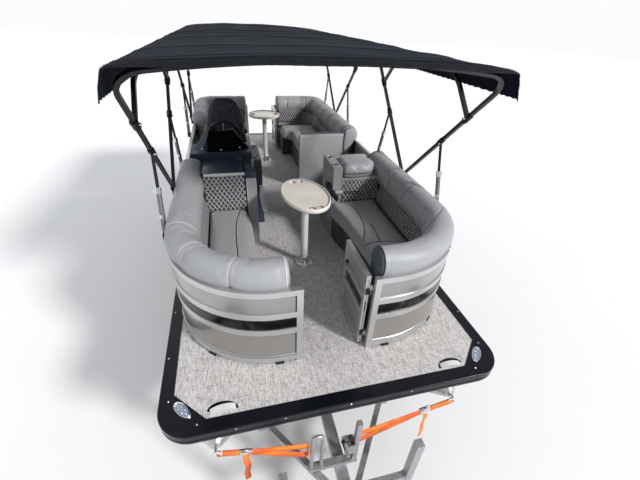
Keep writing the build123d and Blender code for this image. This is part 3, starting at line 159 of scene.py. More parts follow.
# Shader expressions
class Sock:
    """A node socket in an expression: arithmetic on it adds Math nodes."""

    def __init__(self, finish, socket):
        self.finish, self.socket = finish, socket

    def maths(self, operation, first, second=0.0):
        return self.finish.node("Math", {0: first, 1: second}, operation=operation)

    def __add__(self, other):
        return self.maths("ADD", self, other)

    __radd__ = __add__

    def __sub__(self, other):
        return self.maths("SUBTRACT", self, other)

    def __rsub__(self, other):
        return self.maths("SUBTRACT", other, self)

    def __mul__(self, other):
        return self.maths("MULTIPLY", self, other)

    __rmul__ = __mul__

    def __truediv__(self, other):
        return self.maths("DIVIDE", self, other)

    def __gt__(self, other):
        return self.maths("GREATER_THAN", self, other)

    def __lt__(self, other):
        return self.maths("LESS_THAN", self, other)

    def wave(self):
        """Sine of the value."""
        return self.maths("SINE", self)

    def size(self):
        """Absolute value."""
        return self.maths("ABSOLUTE", self)

    def saw(self):
        """Distance to the nearest whole number, from 0 to a half."""
        return self.maths("PINGPONG", self, 0.5)

    def band(self, low, high):
        """0 below low, 1 above high, smooth between."""
        return self.finish.node(
            "MapRange", {"Value": self, "From Min": low, "From Max": high}, interpolation_type="SMOOTHSTEP"
        )


class Finish:
    """One procedural material: its node tree, its shader and short ways to add nodes."""

    def __init__(self, name, base, roughness=0.5, metallic=0.0, coat=0.0):
        self.material = bpy.data.materials.new(name)
        self.material.use_nodes = True
        self.tree = self.material.node_tree
        self.shader = self.tree.nodes["Principled BSDF"]
        self.put("Base Color", base)
        self.put("Roughness", roughness)
        self.put("Metallic", metallic)
        self.put("Coat Weight", coat)
        self.material.diffuse_color = (*base, 1)

    def node(self, kind, inputs=(), out=0, **settings):
        """Adds a node with its settings first, then values or links for its sockets, and returns an output."""
        made = self.tree.nodes.new("ShaderNode" + kind)
        for name, value in settings.items():
            setattr(made, name, value)
        for name, value in dict(inputs).items():
            self.join(made.inputs[name], value)
        return Sock(self, made.outputs[out])

    def join(self, socket, value):
        """Gives a socket a link or a value."""
        if isinstance(value, Sock):
            self.tree.links.new(value.socket, socket)
        elif socket.type == "RGBA":
            socket.default_value = (*value, 1)
        else:
            socket.default_value = value

    def put(self, name, value):
        """Sets one of the shader's own sockets."""
        self.join(self.shader.inputs[name], value)

    def place(self, scale):
        """The point being shaded, scaled."""
        return self.node("Mapping", {"Vector": self.node("TexCoord", out="Object"), "Scale": scale})

    def axis(self, name, source="Object"):
        """One coordinate of the point being shaded."""
        return self.node("SeparateXYZ", {0: self.node("TexCoord", out=source)}, out=name)

    def noise(self, scale, detail, stretch=(1, 1, 1)):
        """Smooth noise from 0 to 1."""
        return self.node("TexNoise", {"Vector": self.place(stretch), "Scale": scale, "Detail": detail})

    def cells(self, scale, out="Distance", feature="F1"):
        """Voronoi cells."""
        return self.node(
            "TexVoronoi", {"Vector": self.place((1, 1, 1)), "Scale": scale}, out=out, feature=feature
        )

    def mix(self, factor, first, second):
        """A colour between two."""
        return self.node("Mix", {0: factor, 6: first, 7: second}, out=2, data_type="RGBA")

    def bump(self, height, depth, strength):
        """Raises the surface by a height from 0 to 1, in metres of depth."""
        self.put("Normal", self.node("Bump", {"Height": height, "Distance": depth, "Strength": strength}))


def shade(base, factor):
    """A colour made lighter or darker."""
    return tuple(min(1.0, channel * factor) for channel in base)


def vinyl(name, base, roughness=0.46):
    """Marine vinyl: fine leather grain, slight clouding and a soft sheen."""
    finish = Finish(name, base, roughness)
    grain = finish.cells(620, feature="SMOOTH_F1")
    cloud = finish.noise(7, 3)
    creases = finish.noise(55, 5, (1, 0.35, 1))
    finish.put("Base Color", finish.mix(cloud, shade(base, 0.92), shade(base, 1.06)))
    finish.put("Roughness", roughness - 0.06 + 0.14 * cloud)
    finish.bump(grain * 0.5 + creases * 0.9, 0.0011, 0.55)
    return finish.material


def quilted(name, base, thread, pitch):
    """Perforated charcoal vinyl with double rows of pale diamond stitching, from the piece's UV in metres."""
    finish = Finish(name, base, 0.55)
    along, across = (finish.axis(axis, "UV") for axis in ("X", "Y"))
    rows = [((along + sign * QUILT_SLANT * across) / pitch).saw() for sign in (1, -1)]
    near = finish.node("Math", {0: rows[0], 1: rows[1]}, operation="MINIMUM")
    stitch = 1 - (near - 0.070).size().band(0.026, 0.056)
    puff = near.band(0.0, 0.30)
    holes = 1 - finish.cells(230).band(0.18, 0.34)
    finish.put("Base Color", finish.mix(stitch, base, thread))
    finish.bump(puff - holes * puff * 0.10 + stitch * 0.16, 0.0085, 0.9)
    finish.put("Roughness", 0.5 + 0.2 * stitch)
    return finish.material


def woven_floor(colours):
    """Woven vinyl flooring: pale threads along the boat, darker flecks and cross threads."""
    finish = Finish("woven_vinyl_floor", colours.floor, 0.72)
    along = finish.noise(1, 3, (190, 22, 1))
    across = finish.noise(1, 3, (22, 190, 1))
    cloud = finish.noise(1.2, 3)
    warp = along.band(0.34, 0.58)
    weft = across.band(0.34, 0.56)
    tone = finish.mix(warp * 0.6 + weft * 0.4, colours.floor_dark, colours.floor)
    tone = finish.mix(cloud * 0.12, tone, shade(colours.floor, 0.82))
    finish.put("Base Color", tone)
    weave = (finish.axis("X") * 1550).wave() * (finish.axis("Y") * 1300).wave()
    finish.bump(weave * 0.5 + warp * 0.5, 0.0012, 0.6)
    return finish.material


def brushed_metal(name, base, roughness, along, metallic):
    """Drawn or anodised metal: fine lines along one way, soft clouding, small scuffs."""
    finish = Finish(name, base, roughness, metallic)
    lines = finish.noise(1, 3, along)
    cloud = finish.noise(4, 3)
    scuffs = finish.noise(38, 6).band(0.60, 0.74)
    finish.put("Base Color", finish.mix(lines * 0.5 + cloud * 0.3, shade(base, 0.86), shade(base, 1.1)))
    finish.put("Roughness", roughness - 0.08 + 0.14 * lines + 0.10 * scuffs)
    finish.bump(lines * 0.6 + scuffs * 0.3, 0.0003, 0.4)
    return finish.material


def flake_paint(name, base):
    """Metallic sheet paint with fine flakes and orange peel under a clear coat."""
    finish = Finish(name, base, 0.3, 0.75, 0.5)
    flakes = finish.cells(1700, out="Color")
    sparkle = finish.node("SeparateXYZ", {0: flakes}, out="X")
    cloud = finish.noise(2.5, 2)
    finish.put("Base Color", finish.mix(sparkle * 0.6 + cloud * 0.4, shade(base, 0.86), shade(base, 1.16)))
    finish.put("Roughness", 0.24 + 0.10 * sparkle)
    finish.bump(finish.noise(3.2, 2, (1, 1, 0.5)), 0.02, 0.35)
    return finish.material


def coated(name, base, roughness=0.3, coat=0.0, grain=260.0, depth=0.0005, specular=0.5):
    """Moulded plastic, gel coat or powder coat: even colour with faint grain, dust and handling marks."""
    finish = Finish(name, base, roughness, 0.0, coat)
    finish.put("Specular IOR Level", specular)
    fine = finish.noise(grain, 3)
    dust = finish.noise(5, 5).band(0.35, 0.8)
    rubs = finish.noise(24, 5, (1, 0.4, 1)).band(0.62, 0.78)
    finish.put("Base Color", finish.mix(dust * 0.6 + fine * 0.2, shade(base, 0.93), shade(base, 1.15)))
    finish.put("Roughness", roughness + 0.10 * dust + 0.08 * rubs)
    finish.bump(fine, depth, 0.4)
    return finish.material


def canvas(name, base):
    """Coated cloth: plain weave on the piece's own UV in metres, slight fading in soft patches."""
    finish = Finish(name, base, 0.86)
    finish.put("Specular IOR Level", 0.12)
    warp = (finish.axis("X", "UV") * 2600).wave()
    weft = (finish.axis("Y", "UV") * 2600).wave()
    fade = finish.noise(3, 4)
    finish.put("Base Color", finish.mix(fade, shade(base, 0.8), shade(base, 1.9)))
    ripple = finish.noise(9, 3, (1, 0.4, 1))
    finish.bump(warp * weft * 0.06 + ripple, 0.006, 0.5)
    return finish.material


def galvanised(name, base):
    """Hot-dip zinc: spangled cells, dull streaks and drips."""
    finish = Finish(name, base, 0.48, 0.72)
    spangle = finish.node("SeparateXYZ", {0: finish.cells(85, out="Color")}, out="X")
    streak = finish.noise(9, 4, (1, 1, 0.25))
    dull = finish.noise(3, 5).band(0.45, 0.7)
    tone = finish.mix(spangle, shade(base, 0.84), shade(base, 1.14))
    finish.put("Base Color", finish.mix(dull * 0.5, tone, shade(base, 0.72)))
    finish.put("Roughness", 0.36 + 0.16 * spangle + 0.16 * dull)
    finish.put("Metallic", 0.86 - 0.3 * dull)
    finish.bump(streak * 0.7 + spangle * 0.2, 0.0008, 0.5)
    return finish.material


def float_metal():
    """Rolled marine aluminium: long brushed lines, weld beads between the sheets and faint handling marks."""
    base = (0.58, 0.59, 0.60)
    finish = Finish("float_aluminium", base, 0.36, 0.85)
    lines = finish.noise(1, 3, (60, 3, 60))
    cloud = finish.noise(3, 4)
    along = finish.axis("Y")
    weld = ((along + 0.32) / 1.22).saw()
    bead = 1 - weld.band(0.002, 0.0055)
    ripple = (along * 2200).wave() * 0.12
    tone = finish.mix(lines * 0.5 + cloud * 0.4, shade(base, 0.84), shade(base, 1.1))
    finish.put("Base Color", finish.mix(bead * 0.6, tone, shade(base, 0.66)))
    finish.put("Roughness", 0.28 + 0.14 * cloud + 0.16 * bead)
    finish.bump(bead * (0.9 + ripple) + lines * 0.05, 0.003, 0.7)
    return finish.material


def rubber():
    """Black rubber with fine mould lines and patches of pale dust."""
    base = (0.018, 0.018, 0.019)
    finish = Finish("tyre_rubber", base, 0.78)
    dust = finish.noise(26, 5)
    finish.put("Base Color", finish.mix(dust.band(0.45, 0.8), base, (0.055, 0.052, 0.048)))
    finish.put("Roughness", 0.68 + 0.2 * dust)
    finish.bump(finish.noise(340, 3), 0.0004, 0.5)
    return finish.material


def webbing(name, base):
    """Polyester webbing: ribs across the width from the piece's UV in metres, two tones along its length."""
    finish = Finish(name, base, 0.62)
    along, across = (finish.axis(axis, "UV") for axis in ("X", "Y"))
    ribs = (along * 1900).wave()
    chevron = ((along + (across * 90).saw() * 0.012) * 1200).wave()
    tone = finish.mix(finish.noise(6, 2).band(0.4, 0.62), base, (0.98, 0.27, 0.03))
    finish.put("Base Color", finish.mix(ribs.band(-0.6, 0.9) * 0.3, tone, shade(base, 0.6)))
    finish.bump(ribs * 0.5 + chevron * 0.4, 0.0009, 0.7)
    return finish.material


def smoked():
    """Smoked screen: dark, glossy and partly see-through, with wipe marks; its outer wing is tinted navy as a painted
    sky reflection.
    """
    finish = Finish("smoked_acrylic", (0.004, 0.004, 0.005), 0.06)
    finish.put("Specular IOR Level", 0.3)
    wipe = finish.noise(6, 4, (1, 1, 0.3)).band(0.5, 0.8)
    # Painted sky reflection: the screen outboard of x = -0.87 is coloured navy instead of smoked black.
    sky_tinted_wing = 1 - finish.axis("X").band(-0.885, -0.870)
    finish.put("Base Color", finish.mix(sky_tinted_wing, (0.004, 0.004, 0.005), (0.022, 0.036, 0.070)))
    finish.put("Alpha", 0.93 + 0.04 * wipe)
    finish.put("Roughness", 0.05 + 0.08 * wipe)
    return finish.material


def gate_finish(colours):
    """Gates in one solid: satin frame, thin metallic plate in the middle plane and its black stripe."""
    finish = Finish("gate_frame_and_plate", colours.rail, 0.36, 0.8)
    across, along, up = (finish.axis(name) for name in "XYZ")
    masks = []
    for node in ("front_gate", "stern_gate", "side_gate"):
        low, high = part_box(node)
        middle = high.x - 0.016 if node == "side_gate" else low.x + 0.016
        masks.append(((across - middle).size() < 0.0045) * ((along - (low.y + high.y) / 2).size() < 0.6))
    plate = finish.node("Math", {0: masks[0] + masks[1] + masks[2], 1: 1.0}, operation="MINIMUM")
    stripe = plate * (up > DECK + 0.36) * (up < DECK + 0.46)
    tone = finish.mix(plate, colours.rail, colours.panel)
    cloud = finish.noise(5, 3)
    tone = finish.mix(cloud * 0.25, tone, shade(colours.rail, 0.8))
    finish.put("Base Color", finish.mix(stripe, tone, (0.008, 0.008, 0.009)))
    finish.put("Metallic", 0.8 - 0.3 * plate - 0.5 * stripe)
    finish.put("Roughness", 0.36 - 0.24 * stripe + 0.08 * cloud)
    finish.bump(finish.noise(1, 3, (160, 160, 6)), 0.0003, 0.3)
    return finish.material


MATERIALS = {}


def make_materials():
    """Every finish, by the name the pieces use."""
    colours = bpy.context.scene.boat_colours
    MATERIALS.update(
        vinyl=vinyl("grey_vinyl", colours.vinyl),
        helm_vinyl=vinyl("helm_vinyl", (0.024, 0.029, 0.040), 0.5),
        quilt=quilted("quilted_vinyl", colours.quilt, colours.thread, bpy.context.scene.boat_sizes.quilt_pitch),
        thread=coated("stitching_thread", colours.thread, 0.6, 0.0, 900, 0.0004),
        base=coated("moulded_base", colours.charcoal, 0.5),
        moulded=coated("moulded_grey", (0.30, 0.305, 0.31), 0.4),
        floor=woven_floor(colours),
        rail=brushed_metal("satin_rail", colours.rail, 0.36, (6, 6, 160), 0.8),
        panel=flake_paint("metallic_panel", colours.panel),
        stripe=coated("gloss_black_stripe", (0.004, 0.004, 0.005), 0.13, 0.0, 60, 0.0002, 0.35),
        trim=coated("black_edge_trim", colours.trim, 0.20, 0.0, 420, 0.0004, 0.22),
        float=float_metal(),
        mill=brushed_metal("mill_aluminium", (0.55, 0.56, 0.57), 0.42, (4, 90, 90), 0.8),
        board=coated("marine_plywood", (0.28, 0.20, 0.12), 0.7, 0.0, 60, 0.0008),
        canvas=canvas("black_canvas", colours.canvas),
        tube=coated("black_tube", (0.006, 0.006, 0.007), 0.34, 0.0, 260, 0.0003, 0.35),
        sleeve=brushed_metal("grey_sleeve", (0.22, 0.22, 0.225), 0.4, (90, 90, 6), 0.7),
        chrome=brushed_metal("polished_chrome", (0.78, 0.79, 0.81), 0.10, (20, 20, 20), 1.0),
        steel=brushed_metal("stainless_steel", (0.70, 0.71, 0.72), 0.26, (90, 90, 20), 0.95),
        satin=brushed_metal("satin_casting", (0.80, 0.80, 0.79), 0.5, (60, 60, 60), 0.35),
        cream=coated("cream_moulding", colours.cream, 0.3, 0.2, 180, 0.0003),
        # Darker tan for the table's recess walls: painted shade.
        cream_line=coated("cream_recess_painted_shade", (0.30, 0.24, 0.185), 0.5, 0.0, 180, 0.0003),
        # Dark gel coat with a blue tint that paints the sky's reflection on it.
        gel=coated("dark_gel_coat_sky_tinted", colours.gel, 0.36, 0.1, 90, 0.0002, 0.4),
        black=coated("black_plastic", (0.010, 0.010, 0.012), 0.45, 0.0, 260, 0.0005, 0.35),
        pale=coated("pale_plastic", (0.62, 0.63, 0.64), 0.4),
        lens=coated("lamp_lens", (0.17, 0.22, 0.31), 0.05, 0.6, 60, 0.0012),
        red=coated("red_lens", (0.55, 0.012, 0.01), 0.14, 0.5, 120, 0.0014),
        amber=coated("amber_lens", (0.80, 0.24, 0.01), 0.14, 0.5, 120, 0.0014),
        zinc=galvanised("galvanised_steel", colours.zinc),
        carpet=coated("bunk_carpet", (0.02, 0.02, 0.022), 0.95, 0.0, 700, 0.004),
        rubber=rubber(),
        rim=brushed_metal("silver_rim", (0.55, 0.56, 0.58), 0.3, (40, 40, 40), 0.7),
        webbing=webbing("orange_webbing", colours.orange),
        screen=smoked(),
        bracket=coated("black_bracket", (0.02, 0.02, 0.023), 0.42),
        guard=coated("black_mudguard", (0.017, 0.017, 0.018), 0.5, 0.0, 320, 0.0006),
        vinyl_dark=coated("black_vinyl_welt", (0.012, 0.012, 0.015), 0.5, 0.0, 700, 0.0004, 0.3),
        # A dark navy copy of the grey vinyl: painted shade on the port front roll's forward end.
        vinyl_navy=vinyl("grey_vinyl_painted_shade", (0.055, 0.062, 0.08), 0.5),
        vinyl_pale=vinyl("pale_vinyl", (0.50, 0.505, 0.515)),
        thread_dark=coated("dark_thread", (0.028, 0.030, 0.036), 0.6, 0.0, 900, 0.0003, 0.2),
        canvas_edge=coated("canvas_hem", (0.009, 0.0095, 0.013), 0.85, 0.0, 1400, 0.0008, 0.2),
        hook=coated("white_hook", (0.72, 0.72, 0.71), 0.35),
        gate=gate_finish(colours),
    )


# Meshes
def piece_from(name, verts, faces, material, body=HOME, uvs=None):
    """A finished mesh object at the origin that rides on a body, its faces turned outward."""
    mesh = bpy.data.meshes.new(name)
    mesh.from_pydata([tuple(v) for v in verts], [], faces)
    if uvs is not None:
        layer = mesh.uv_layers.new(name="metres")
        corners = np.empty(len(mesh.loops), np.int32)
        mesh.loops.foreach_get("vertex_index", corners)
        layer.data.foreach_set("uv", np.asarray(uvs, np.float32)[corners].ravel())
    mesh.validate()
    work = bmesh.new()
    work.from_mesh(mesh)
    bmesh.ops.recalc_face_normals(work, faces=work.faces)
    work.to_mesh(mesh)
    work.free()
    return adopt(name, mesh, material, body)


def adopt(name, mesh, material, body):
    """Links a mesh as a piece: its material or materials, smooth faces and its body."""
    thing = bpy.data.objects.new(name, mesh)
    bpy.context.scene.collection.objects.link(thing)
    for one in material if isinstance(material, list) else [material]:
        mesh.materials.append(MATERIALS[one])
    mesh.shade_smooth()
    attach(thing, body)
    return thing


def plain(thing, angle=None):
    """Applies an object's modifiers to a plain mesh; an angle keeps sharper edges sharp."""
    graph = bpy.context.evaluated_depsgraph_get()
    graph.update()
    mesh = bpy.data.meshes.new_from_object(thing.evaluated_get(graph))
    thing.modifiers.clear()
    thing.data = mesh
    if angle is not None:
        mesh.set_sharp_from_angle(angle=angle)
    return thing


def modify(thing, kind, **settings):
    """Adds a modifier and sets it."""
    modifier = thing.modifiers.new(kind.lower(), kind)
    for name, value in settings.items():
        setattr(modifier, name, value)
    return modifier


class Build:
    """A mesh built from simple solids, joined in one bmesh."""

    def __init__(self):
        self.mesh = bmesh.new()

    def box(self, low, high, bevel=0.0, segments=2, turn=None, index=0):
        """A block between two corners, with rounded edges, turned about its middle."""
        low, high = Vector(low), Vector(high)
        size = high - low
        matrix = Matrix.Translation((low + high) / 2)
        if turn is not None:
            matrix = matrix @ turn.to_4x4()
        matrix = matrix @ Matrix.Diagonal((*size, 1))
        made = bmesh.ops.create_cube(self.mesh, size=1, matrix=matrix)["verts"]
        faces = {face for vert in made for face in vert.link_faces}
        if bevel:
            edges = list({edge for vert in made for edge in vert.link_edges})
            made = bmesh.ops.bevel(
                self.mesh, geom=edges, offset=bevel, segments=segments, affect="EDGES", profile=0.5
            )["verts"]
            faces = {face for vert in made for face in vert.link_faces} | {face for face in faces if face.is_valid}
        for face in faces:
            face.material_index = index

    def block(self, middle, half, bevel, **more):
        """A block about its middle, from half its size."""
        self.box(middle - Vector(half), middle + Vector(half), bevel, **more)

    def rod(self, start, end, radius, end_radius=None, sides=20, index=0):
        """A round bar or cone from start to end."""
        start, end = Vector(start), Vector(end)
        run = end - start
        matrix = Matrix.Translation((start + end) / 2) @ run.to_track_quat("Z", "Y").to_matrix().to_4x4()
        made = bmesh.ops.create_cone(
            self.mesh, cap_ends=True, segments=sides, radius1=radius,
            radius2=radius if end_radius is None else end_radius, depth=run.length, matrix=matrix,
        )["verts"]
        self.mark(made, index)

    def pin(self, middle, half, radius, **more):
        """A round bar about its middle, from half its run."""
        self.rod(middle - Vector(half), middle + Vector(half), radius, **more)

    def ball(self, middle, radius, index=0, squash=(1, 1, 1), sides=20):
        """A ball, squashed along the axes."""
        matrix = Matrix.Translation(middle) @ Matrix.Diagonal((*squash, 1))
        made = bmesh.ops.create_uvsphere(
            self.mesh, u_segments=sides, v_segments=sides // 2, radius=radius, matrix=matrix
        )["verts"]
        self.mark(made, index)

    def mark(self, verts, index):
        """Gives the faces on new vertices their material."""
        for face in {face for vert in verts for face in vert.link_faces}:
            face.material_index = index

    def ring(self, middle, axis, radius, tube, sides=40, tube_sides=10, index=0, sweep=tau):
        """A ring of round tube about an axis."""
        turn = Vector(axis).to_track_quat("Z", "Y").to_matrix()
        rows = []
        closed = sweep >= tau - 1e-6
        for i in range(sides if closed else sides + 1):
            angle = sweep * i / sides
            out = turn @ Vector((cos(angle), sin(angle), 0))
            up = turn @ Vector((0, 0, 1))
            rows.append([
                self.mesh.verts.new(
                    Vector(middle) + out * (radius + tube * cos(tau * j / tube_sides))
                    + up * tube * sin(tau * j / tube_sides)
                )
                for j in range(tube_sides)
            ])
        self.skin(rows, closed, index)

    def skin(self, rows, closed=False, index=0):
        """Faces between rows of points that each go round."""
        count = len(rows) if closed else len(rows) - 1
        sides = len(rows[0])
        for i in range(count):
            here, there = rows[i], rows[(i + 1) % len(rows)]
            for j in range(sides):
                k = (j + 1) % sides
                face = self.mesh.faces.new((here[j], here[k], there[k], there[j]))
                face.material_index = index
        if not closed:
            for row in (rows[0], rows[-1]):
                self.mesh.faces.new(row).material_index = index

    def prism(self, outline, low, high, bevel=0.0):
        """A solid over an outline in plan, between two heights."""
        rings = [[self.mesh.verts.new((*point, height)) for point in outline] for height in (low, high)]
        self.skin(rings)
        if bevel:
            edges = list({edge for ring in rings for vert in ring for edge in vert.link_edges})
            bmesh.ops.bevel(self.mesh, geom=edges, offset=bevel, segments=2, affect="EDGES", profile=0.5)

    def piece(self, name, material, body=HOME, slot=None, angle=SHARP):
        """Ends the building and makes the piece."""
        bmesh.ops.recalc_face_normals(self.mesh, faces=self.mesh.faces)
        mesh = bpy.data.meshes.new(name)
        self.mesh.to_mesh(mesh)
        self.mesh.free()
        thing = adopt(name, mesh, material, body)
        if angle is not None:
            mesh.set_sharp_from_angle(angle=angle)
        return thing


def tube_along(points, radius, sides, closed, build):
    """A round tube that follows points."""
    points = [Vector(p) for p in points]
    rows, side = [], None
    count = len(points)
    for i, point in enumerate(points):
        before = points[i - 1] if i or closed else point
        after = points[(i + 1) % count] if i < count - 1 or closed else point
        way = (after - before).normalized()
        if side is None:
            side = way.orthogonal().normalized()
        side = (side - way * side.dot(way)).normalized()
        up = way.cross(side)
        rows.append([
            build.mesh.verts.new(point + (side * cos(tau * j / sides) + up * sin(tau * j / sides)) * radius)
            for j in range(sides)
        ])
    build.skin(rows, closed)


def paint(node, material):
    """Gives a CAD node a finish."""
    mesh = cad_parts[node].data
    mesh.materials.clear()
    mesh.materials.append(MATERIALS[material])


# Repeats: Geometry Nodes trees that set one small shape on many places
SHAPES = {
    # the node that makes the shape, its sockets for the tree's own sizes
    "dome": ("MeshUVSphere", {"Segments": 12, "Rings": 6, "Radius": "Radius"}),
    "stitch": ("MeshCylinder", {"Vertices": 5, "Radius": "Radius", "Depth": "Length"}),
    "nut": ("MeshCylinder", {"Vertices": 6, "Radius": "Radius", "Depth": "Length"}),
    "block": ("MeshCube", {"Size": "Block"}),
}
SIZES = (
    ("Radius", "NodeSocketFloat"), ("Length", "NodeSocketFloat"), ("Pitch", "NodeSocketFloat"),
    ("Block", "NodeSocketVector"), ("Squash", "NodeSocketVector"), ("Finish", "NodeSocketMaterial"),
)


class Repeater:
    """A tree that repeats one shape on a mesh's points, or at a pitch along its lines."""

    def __init__(self, shape, follow):
        self.tree = bpy.data.node_groups.new(f"repeat_{shape}", "GeometryNodeTree")
        face = self.tree.interface
        face.new_socket("Geometry", in_out="INPUT", socket_type="NodeSocketGeometry")
        self.inputs = {
            name: face.new_socket(name, in_out="INPUT", socket_type=kind).identifier for name, kind in SIZES
        }
        face.new_socket("Geometry", in_out="OUTPUT", socket_type="NodeSocketGeometry")
        given = self.tree.nodes.new("NodeGroupInput")
        end = self.tree.nodes.new("NodeGroupOutput")
        kind, sockets = SHAPES[shape]
        linked = {name: given.outputs[value] for name, value in sockets.items() if isinstance(value, str)}
        made = self.node(kind, {**sockets, **linked})
        squashed = self.node("Transform", {"Geometry": made.outputs["Mesh"], "Scale": given.outputs["Squash"]})
        if follow:
            curve = self.node("MeshToCurve", {"Mesh": given.outputs["Geometry"]})
            places = self.node(
                "CurveToPoints", {"Curve": curve.outputs[0], "Length": given.outputs["Pitch"]}, mode="LENGTH"
            )
            points, turn = places.outputs["Points"], places.outputs["Rotation"]
        else:
            points = self.node("MeshToPoints", {"Mesh": given.outputs["Geometry"]}).outputs[0]
            turn = self.turned("along", "X", self.turned("facing", "Z", None))
        placed = self.node(
            "InstanceOnPoints", {"Points": points, "Instance": squashed.outputs[0], "Rotation": turn}
        )
        real = self.node("RealizeInstances", {"Geometry": placed.outputs[0]})
        painted = self.node(
            "SetMaterial", {"Geometry": real.outputs[0], "Material": given.outputs["Finish"]}
        )
        self.tree.links.new(painted.outputs[0], end.inputs[0])

    def node(self, kind, inputs, family="GeometryNode", **settings):
        """Adds a node with its settings, values and links."""
        made = self.tree.nodes.new(family + kind)
        for name, value in settings.items():
            setattr(made, name, value)
        for name, value in inputs.items():
            if isinstance(value, bpy.types.NodeSocket):
                self.tree.links.new(value, made.inputs[name])
            elif value is not None:
                made.inputs[name].default_value = value
        return made

    def turned(self, attribute, axis, turn):
        """A turn that brings an axis onto a stored way."""
        way = self.node("InputNamedAttribute", {"Name": attribute}, data_type="FLOAT_VECTOR")
        return self.node(
            "AlignRotationToVector", {"Rotation": turn, "Vector": way.outputs[0]}, "FunctionNode", axis=axis
        ).outputs[0]


REPEATERS = {}


def repeat(name, shape, places, material, body=HOME, slot=None, pitch=0.0, facing=None, along=None, **sizes):
    """One mesh of a shape set on points, or along lines of points where a pitch is given."""
    follow = pitch > 0
    maker = REPEATERS.get((shape, follow)) or REPEATERS.setdefault((shape, follow), Repeater(shape, follow))
    mesh = bpy.data.meshes.new(name)
    if follow:
        verts, edges = [], []
        for line in places:
            edges += [(len(verts) + i, len(verts) + i + 1) for i in range(len(line) - 1)]
            verts += [tuple(point) for point in line]
        mesh.from_pydata(verts, edges, [])
    else:
        mesh.from_pydata([tuple(point) for point in places], [], [])
        for attribute, ways in (("facing", facing), ("along", along)):
            ways = ways or [(0, 0, 1) if attribute == "facing" else (1, 0, 0)] * len(places)
            layer = mesh.attributes.new(attribute, "FLOAT_VECTOR", "POINT")
            layer.data.foreach_set("vector", np.array([tuple(way) for way in ways], np.float32).ravel())
    thing = bpy.data.objects.new(name, mesh)
    bpy.context.scene.collection.objects.link(thing)
    modifier = thing.modifiers.new("repeat", "NODES")
    modifier.node_group = maker.tree
    values = {"Radius": 0.005, "Length": 0.01, "Pitch": pitch, "Block": (0.01,) * 3, "Squash": (1, 1, 1)}
    values.update({key.capitalize(): value for key, value in sizes.items()})
    for key, value in values.items():
        modifier[maker.inputs[key]] = value
    modifier[maker.inputs["Finish"]] = MATERIALS[material]
    plain(thing, SHARP)
    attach(thing, body)
    return thing


# The fence's line in plan, which rails, panels and cushions follow
BOW_FLAT = FENCE_HALF - FRONT_RADIUS
BOW_ARC = FRONT_RADIUS * pi / 2
SIDE_RUN = FENCE_STERN - FENCE_FRONT - FRONT_RADIUS - STERN_RADIUS
STERN_ARC = STERN_RADIUS * pi / 2


def fence_line(run, inset=0.0):
    """Plan place on the port side, a run from the middle of the bow and an inset inside the fence's face."""
    if run < BOW_FLAT:
        x, y, out = run, FENCE_FRONT, (0, -1)
    elif run < BOW_FLAT + BOW_ARC:
        turn = (run - BOW_FLAT) / FRONT_RADIUS
        out = (sin(turn), -cos(turn))
        x, y = BOW_FLAT + FRONT_RADIUS * out[0], FENCE_FRONT + FRONT_RADIUS * (1 + out[1])
    elif run < BOW_FLAT + BOW_ARC + SIDE_RUN:
        x, y, out = FENCE_HALF, FENCE_FRONT + FRONT_RADIUS + run - BOW_FLAT - BOW_ARC, (1, 0)
    else:
        turn = min((run - BOW_FLAT - BOW_ARC - SIDE_RUN) / STERN_RADIUS, pi / 2)
        rest = max(run - BOW_FLAT - BOW_ARC - SIDE_RUN - STERN_ARC, 0)
        out = (cos(turn), sin(turn))
        x = FENCE_HALF - STERN_RADIUS * (1 - out[0]) - rest
        y = FENCE_STERN - STERN_RADIUS * (1 - out[1])
    return x - inset * out[0], y - inset * out[1], out


def run_at(y):
    """The run at which the fence's straight side is y aft of the deck's edge."""
    return BOW_FLAT + BOW_ARC + y - FENCE_FRONT - FRONT_RADIUS


def run_stern(x):
    """The run at which the fence's stern is x from the middle."""
    return BOW_FLAT + BOW_ARC + SIDE_RUN + STERN_ARC + FENCE_HALF - STERN_RADIUS - x


def on_fence(sign, run, inset, height):
    """A place in the frame on the fence's line."""
    x, y, _ = fence_line(run, inset)
    return at(sign * x, y, height)


def spaced(start, end, step):
    """Even values from start to end, about a step apart."""
    return np.linspace(start, end, max(2, int(round(abs(end - start) / step)) + 1))


def run_along(line):
    """How far along a line each of its points is."""
    return np.concatenate(([0], np.cumsum(np.linalg.norm(np.diff(line, axis=0), axis=1))))


def divided(line, along, places):
    """The points at given runs along a line."""
    return np.stack([np.interp(places, along, column) for column in line.T], 1)


def rounded(points, count, passes=2):
    """A closed outline with its corners cut smooth, divided evenly."""
    loop = np.array(points, float)
    for _ in range(passes):
        after = np.roll(loop, -1, 0)
        loop = np.stack((0.75 * loop + 0.25 * after, 0.25 * loop + 0.75 * after), 1).reshape(-1, loop.shape[1])
    closed = np.vstack((loop, loop[:1]))
    along = run_along(closed)
    return divided(closed, along, np.linspace(0, along[-1], count, endpoint=False))


def eased(points, step):
    """An open line through points, smoothed by cutting its corners."""
    line = np.array(points, float)
    for _ in range(3):
        cut = np.stack((0.75 * line[:-1] + 0.25 * line[1:], 0.25 * line[:-1] + 0.75 * line[1:]), 1)
        line = np.vstack((line[:1], cut.reshape(-1, line.shape[1]), line[-1:]))
    along = run_along(line)
    return divided(line, along, spaced(0, along[-1], step))


def round_off(near, reach, least):
    """How full a round end is at a distance from its tip, with the least share at the tip squared."""
    return sqrt(max(1 - max(1 - near / reach, 0) ** 2, least))


def ring_faces(rows, sides):
    """Faces between rows of points that each go round."""
    return [
        (i * sides + j, i * sides + (j + 1) % sides, (i + 1) * sides + (j + 1) % sides, (i + 1) * sides + j)
        for i in range(rows - 1) for j in range(sides)
    ]


